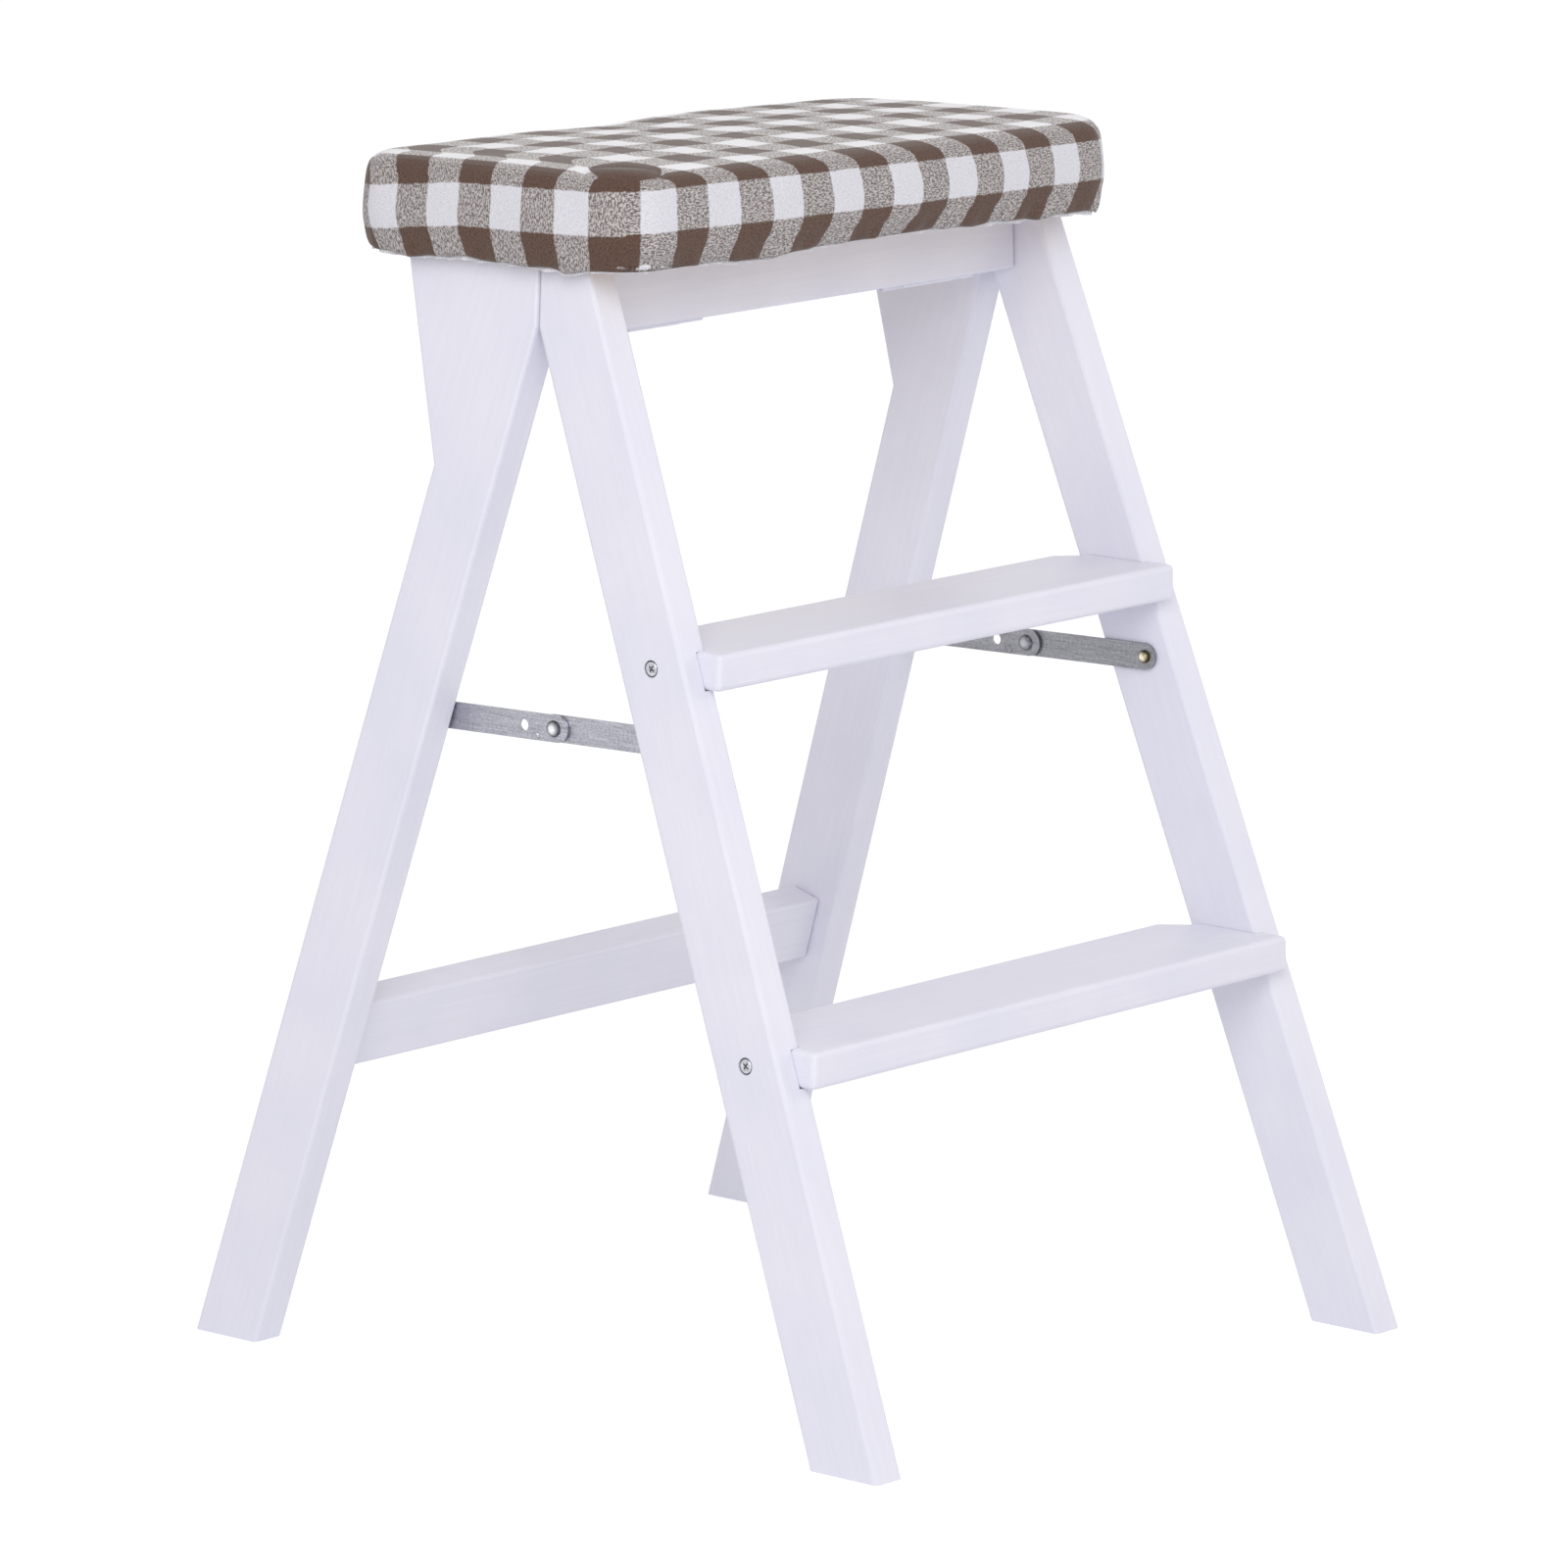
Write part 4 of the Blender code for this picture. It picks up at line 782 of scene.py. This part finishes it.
    top_map = np.stack(top_cloth(top_x, top_y), -1).reshape(-1, 2) * MM
    faces = [quads(grid)]
    uv = [top_map[faces[0]].reshape(-1, 2)]
    begin = 0
    for side, s in enumerate((s_x, s_y, s_x, s_y)):
        columns = np.arange(begin, begin + len(s)) % around
        begin += len(s) - 1
        u, v = side_cloth(side, s, down, plain_height[:, columns], rim_x[columns], rim_y[columns])
        ids = ring_ids[:, columns]
        order = quads(np.arange(ids.size).reshape(ids.shape))[:, ::-1]
        faces.append(ids.reshape(-1)[order])
        uv.append(np.stack([u, v], -1).reshape(-1, 2)[order].reshape(-1, 2) * MM)
    cap = quads(cap_grid)[:, ::-1]
    faces.append(cap)
    plan = points[:, :2] * [1, -1]
    uv.append(plan[cap].reshape(-1, 2))
    return make_piece("checked_cushion", points, np.concatenate(faces), material,
                      np.concatenate(uv))


# The elastic's places along its length, how far it lies inside the cushion's outline, its share
# of the sides' bow, and its rows across. In millimetres: half its thickness, its upper edge above
# the hem and its width, the highest that it follows the hem, its scallops' size at the upper edge
# and how much that grows, and the ripple of its free edge, which turns 53 times round the seat.
ELASTIC_COUNT = 2400
ELASTIC_INSET = 6.5 * MM
ELASTIC_BOW = 0.3
ELASTIC_ROWS = 7
ELASTIC_HALF = 0.3
ELASTIC_RISE = 3.4
ELASTIC_WIDTH = 4.8
ELASTIC_HIGHEST = 1.5
SCALLOP_SIZE = 0.35
SCALLOP_GROWTH = 0.9
ELASTIC_RIPPLE = 0.4
RIPPLE_TURNS = 53


def elastic_hem(material):
    """The gathered elastic that just shows below the cushion.

    A band whose middle line follows the ring 6.5 mm inside the cushion's outline and rises and
    falls with the cushion's hem. Across its width it drops 4.8 mm. Along its length it swings in
    and out in scallops 11 mm long, more at its free edge. It is 0.6 mm thick and closed.
    """
    x, y = ring(ELASTIC_INSET, ELASTIC_BOW)
    x = np.append(x, x[0])
    y = np.append(y, y[0])
    s = np.concatenate([[0], np.cumsum(np.hypot(np.diff(x), np.diff(y)))])
    at = np.linspace(0, s[-1], ELASTIC_COUNT + 1)[:-1]
    line_x = np.interp(at, s, x)
    line_y = np.interp(at, s, y)
    out_x = np.gradient(line_y)
    out_y = -np.gradient(line_x)
    size = np.hypot(out_x, out_y)
    out_x, out_y = out_x / size, out_y / size
    turn = at / s[-1] * 2 * math.pi
    long_side, short_side = s[CELLS_X], s[CELLS_X + CELLS_Y] - s[CELLS_X]
    follow = np.minimum(hem_wander(at, long_side, short_side), ELASTIC_HIGHEST)
    scallop = waves(turn, SCALLOPS)
    width = np.linspace(0, 1, ELASTIC_ROWS)
    points = []
    for side, shares in ((ELASTIC_HALF, width), (-ELASTIC_HALF, width[::-1])):
        for share in shares:
            swing = (scallop * (SCALLOP_SIZE + SCALLOP_GROWTH * share) + side) * MM
            ripple = ELASTIC_RIPPLE * share * np.cos(RIPPLE_TURNS * turn)
            z = HEM_Z + (follow + ELASTIC_RISE - ELASTIC_WIDTH * share + ripple) * MM
            points.append(np.stack([line_x + out_x * swing, line_y + out_y * swing, z], -1))
    rows = len(points)
    points = np.concatenate(points)
    points[:, :2] += SEAT_MID.xy
    ids = np.arange(rows * ELASTIC_COUNT).reshape(rows, ELASTIC_COUNT)
    after = np.roll(ids, -1, axis=1)
    faces = np.stack([ids, np.roll(ids, -1, axis=0), np.roll(after, -1, axis=0), after], -1)
    u = np.append(at, s[-1])
    u_here = np.repeat(u[None, :-1], rows, 0)
    u_next = np.repeat(u[None, 1:], rows, 0)
    v_here = np.repeat(np.arange(rows)[:, None] * MM, ELASTIC_COUNT, 1)
    uv = np.stack([np.stack([u_here, u_here, u_next, u_next], -1),
                   np.stack([v_here, v_here + MM, v_here + MM, v_here], -1)], -1)
    return make_piece("elastic_hem", points, faces.reshape(-1, 4), material, uv.reshape(-1, 2))


# ---- Screw faces

# The rounds of points in a face and the innermost one's reach, which is a share of the radius as
# are all reaches here; the dome's height at its middle and its fall, in millimetres; how deep the
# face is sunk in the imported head, and its underside; the slots' half width and half length, each
# from the foot of the wall to its top; and where the rim starts to drop
SCREW_POINTS = 96
SCREW_ROUNDS = 34
SCREW_INNER = 0.03
SCREW_DOME = (0.5, 0.22)
SCREW_SUNK = 0.06
SCREW_UNDER = 0.16
SLOT_WIDTH = (0.12, 0.18)
SLOT_LENGTH = (0.52, 0.62)
SCREW_RIM = 0.93
# The direction that turns the slots, and every how many rounds the underside repeats one
SLOT_TURN = (0.3, 0.8, 0.52)
UNDER_STEP = 11


def screw_face(name, centre, facing, radius, material):
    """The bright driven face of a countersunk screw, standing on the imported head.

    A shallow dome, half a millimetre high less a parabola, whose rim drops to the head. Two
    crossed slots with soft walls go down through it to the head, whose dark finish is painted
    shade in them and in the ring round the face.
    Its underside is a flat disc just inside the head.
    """
    turn = np.arange(SCREW_POINTS) * 2 * math.pi / SCREW_POINTS
    reach = np.linspace(SCREW_INNER, 1, SCREW_ROUNDS)[:, None]
    x, y = reach * np.cos(turn)[None, :], reach * np.sin(turn)[None, :]
    thin = np.minimum(np.abs(x), np.abs(y))
    far = np.maximum(np.abs(x), np.abs(y))
    slot = (1 - smooth_step(thin, *SLOT_WIDTH)) * (1 - smooth_step(far, *SLOT_LENGTH))
    dome = SCREW_DOME[0] - SCREW_DOME[1] * reach ** 2
    height = dome * (1 - slot) * (1 - smooth_step(reach, SCREW_RIM, 1)) - SCREW_SUNK
    x = np.concatenate([x, x[::-UNDER_STEP]])
    y = np.concatenate([y, y[::-UNDER_STEP]])
    under = np.full((len(x) - len(height), SCREW_POINTS), -SCREW_UNDER)
    height = np.concatenate([height, under]) * MM
    facing = np.array(facing)
    side = np.cross(facing, SLOT_TURN)
    side /= np.linalg.norm(side)
    other = np.cross(facing, side)
    points = (np.array(centre) + height[..., None] * facing
              + radius * (x[..., None] * side + y[..., None] * other)).reshape(-1, 3)
    ids = np.arange(len(points)).reshape(-1, SCREW_POINTS)
    after = np.roll(ids, -1, axis=1)
    walls = np.stack([ids[:-1], ids[1:], after[1:], after[:-1]], -1).reshape(-1, 4)
    mesh = bpy.data.meshes.new(name)
    ends = [ids[0].tolist(), ids[-1, ::-1].tolist()]
    mesh.from_pydata(points.tolist(), [], walls.tolist() + ends)
    mesh.update()
    return link_piece(name, mesh, material)


# ---- Finishes on the solids

# How the legs lean from upright, towards the rear at their tops
FRONT_LEAN = math.radians(20.7)
REAR_LEAN = math.radians(-17.25)


def grain_turn(lean):
    """Euler angles that take a direction leaning in the Y-Z plane onto the X axis."""
    along = Vector((0, math.sin(lean), math.cos(lean)))
    return along.rotation_difference(Vector((1, 0, 0))).to_euler()


lacquer_boards = satin_lacquer("satin_lacquer_boards", (0, 0, 0))
# Dark steel for the hinges, and painted shade on the tread screws' heads round and in their faces
dark_steel_and_shade = galvanised_steel("dark_hinge_steel_and_painted_shade", "#45454B", "#66666E")
screw_zinc = galvanised_steel("bright_zinc_screw", "#A9A9B0", "#DADAE0", 0.28)
checked_cloth = gingham()
# Words in the imported nodes' names and their finishes, of which the first that fits is taken. The
# right spreader's steel is darker than the left one's, as painted shade for the tread's shadow on
# it, and the tread screws' heads are dark as painted shade in the gap and slots round their faces.
FINISHES = (("_leaf", lacquer_boards),
            ("front_leg", satin_lacquer("satin_lacquer_front_legs", grain_turn(FRONT_LEAN))),
            ("rear_leg", satin_lacquer("satin_lacquer_rear_legs", grain_turn(REAR_LEAN))),
            ("dowel", beech_dowel()),
            ("seat_board", birch_plywood()),
            ("foam_pad", seat_foam()),
            ("cushion_cover", checked_cloth),
            # Painted shade: the tread screws' heads are dark where they show round and in the
            # bright faces
            ("tread_screw", dark_steel_and_shade),
            ("screw", screw_zinc),
            ("hinge", dark_steel_and_shade),
            # Painted shade: the right spreader's steel is darker for the tread's shadow on it
            ("link_right", galvanised_steel("painted_shade_galvanised_steel", "#84848A", "#A5A5AA")),
            ("spreader", galvanised_steel("galvanised_steel", "#9A9AA2", "#C0C0C9")),
            ("", lacquer_boards))
# Round heads, each with a finish of its own: the colours of the painted highlight on the crown and
# of the painted shade on the rim, and the roughness. The right elbow rivet's are darker still,
# as painted shade for the tread's shadow on it.
HEADS = (("pivot_screw", "#F1EAD2", "#564B2C", 0.2),
         ("elbow_rivet_head_left", "#F0F0F5", "#62626A", 0.2),
         ("elbow_rivet_tail_left", "#F0F0F5", "#62626A", 0.2),
         ("elbow_rivet", "#B4B4BA", "#74747A", 0.28))


def finish_for(name):
    """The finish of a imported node, from its name."""
    for word, *look in HEADS:
        if word in name:
            return lit_and_shaded_head(name, *look)
    return next(finish for word, finish in FINISHES if word in name)


for name, solid in nodes.items():
    solid.data.materials.clear()
    solid.data.materials.append(finish_for(name))

cushion = build_cushion(checked_cloth)
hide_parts("cushion_cover", "foam_pad")
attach(cushion, "rear_frame")
hem = elastic_hem(elastic_edging())
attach(hem, "rear_frame")

# A screw's face as a share of its packed head
HEAD_SHARE = 0.88
for tread in ("lower", "upper"):
    for side, sign in (("left", -1), ("right", 1)):
        low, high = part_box(f"{tread}_tread_screw_{side}")
        middle = (low + high) / 2
        head = (low.x if sign < 0 else high.x, middle.y, middle.z)
        radius = (high.z - low.z) / 2 * HEAD_SHARE
        name = f"{tread}_tread_screw_face_{side}"
        face = screw_face(name, head, (sign, 0, 0), radius, screw_zinc)
        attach(face, "front_frame")


# ---- Floor, light and camera

FLOOR_HALF = 30.0
# The floor's own glow towards the camera, near and far. Beyond the lamps it makes up for their
# light, so the far floor is as white as the near. Between the two it rises over these distances.
GLOW_NEAR, GLOW_FAR = 0.38, 0.47
GLOW_START, GLOW_END = 1.5, 4.5
# How strongly the white all round lights the ladder, and how bright the camera sees it
SKY_LIGHT, SKY_SEEN = 0.62, 1.0
# Soft square lamps: name, place, side and power
LAMPS = (("key", (-2.4, -1.95, 2.3), 2.2, 57), ("fill", (2.6, -1.8, 1.6), 2.0, 12))
LAMP_AIM = Vector((0, 0, 0.3))
# The photograph's view: degrees round from the front, up and of roll, the point looked at, the
# distance from it, and the lens and sensor in millimetres
VIEW_ANGLES = (-49.593, 11.114, 0.4951)
VIEW_AIM = Vector((0, 0.01391, 0.29677))
VIEW_DISTANCE = 5.1678
LENS = 222.48
SENSOR = 36


def seen_directly(tree):
    """1 for what the camera sees, also in a mirror or through glass, and 0 for light on things."""
    path = add(tree, "ShaderNodeLightPath").outputs
    direct = calc(tree, "MAXIMUM", path["Is Camera Ray"], path["Is Glossy Ray"])
    return calc(tree, "MAXIMUM", direct, path["Is Transmission Ray"])


def build_floor():
    """A wide pale floor that stays white to the camera and keeps the soft shadow."""
    half = FLOOR_HALF
    points = np.array([(-half, -half, 0), (half, -half, 0), (half, half, 0), (-half, half, 0)])
    material, tree, out = start_material("studio_floor")
    place = object_place(tree)
    tone = blend(tree, noise(tree, place, 3.0, 2.0), "#F2F2F4", "#F5F5F7")
    plain = add(tree, "ShaderNodeBsdfDiffuse", {"Color": tone}).outputs[0]
    away = vector_calc(tree, "LENGTH", place)
    level = ramp(tree, away, GLOW_START, GLOW_END, GLOW_NEAR, GLOW_FAR)
    inputs = {"Color": (1, 1, 1, 1), "Strength": calc(tree, "MULTIPLY", seen_directly(tree), level)}
    glow = add(tree, "ShaderNodeEmission", inputs).outputs[0]
    both = add(tree, "ShaderNodeAddShader", {0: plain, 1: glow}).outputs[0]
    tree.links.new(both, out.inputs[0])
    make_piece("studio_floor", points, [[0, 1, 2, 3]], material, smooth=False)


def build_world():
    """Even white light from all round."""
    world = bpy.data.worlds.new("studio")
    bpy.context.scene.world = world
    world.use_nodes = True
    tree = world.node_tree
    tree.nodes.clear()
    out = add(tree, "ShaderNodeOutputWorld")
    level = ramp(tree, seen_directly(tree), 0.0, 1.0, SKY_LIGHT, SKY_SEEN)
    inputs = {"Color": (1, 1, 1, 1), "Strength": level}
    tree.links.new(add(tree, "ShaderNodeBackground", inputs).outputs[0], out.inputs[0])


def area_light(name, place, size, power):
    """A square soft light that faces the ladder."""
    data = bpy.data.lights.new(name, "AREA")
    data.size = size
    data.energy = power
    light = bpy.data.objects.new(name, data)
    light.location = place
    light.rotation_mode = "QUATERNION"
    light.rotation_quaternion = (LAMP_AIM - Vector(place)).to_track_quat("-Z", "Y")
    bpy.context.scene.collection.objects.link(light)


def build_camera():
    """The photograph's view: a long lens from the front left, a little above the seat."""
    azimuth, elevation, roll = (math.radians(angle) for angle in VIEW_ANGLES)
    out = Vector((math.sin(azimuth), -math.cos(azimuth), 0))
    level = Vector((math.cos(azimuth), math.sin(azimuth), 0))
    back = out * math.cos(elevation) + Vector((0, 0, math.sin(elevation)))
    upright = back.cross(level)
    right = level * math.cos(roll) + upright * math.sin(roll)
    up = upright * math.cos(roll) - level * math.sin(roll)
    data = bpy.data.cameras.new("photo_view")
    data.sensor_fit = "HORIZONTAL"
    data.sensor_width = SENSOR
    data.lens = LENS
    data.clip_end = 100
    camera = bpy.data.objects.new("photo_view", data)
    matrix = Matrix((right, up, back)).transposed().to_4x4()
    camera.matrix_world = Matrix.Translation(VIEW_AIM + back * VIEW_DISTANCE) @ matrix
    bpy.context.scene.collection.objects.link(camera)
    bpy.context.scene.camera = camera


build_floor()
build_world()
for lamp in LAMPS:
    area_light(*lamp)
build_camera()
bpy.context.scene.view_settings.view_transform = "Standard"
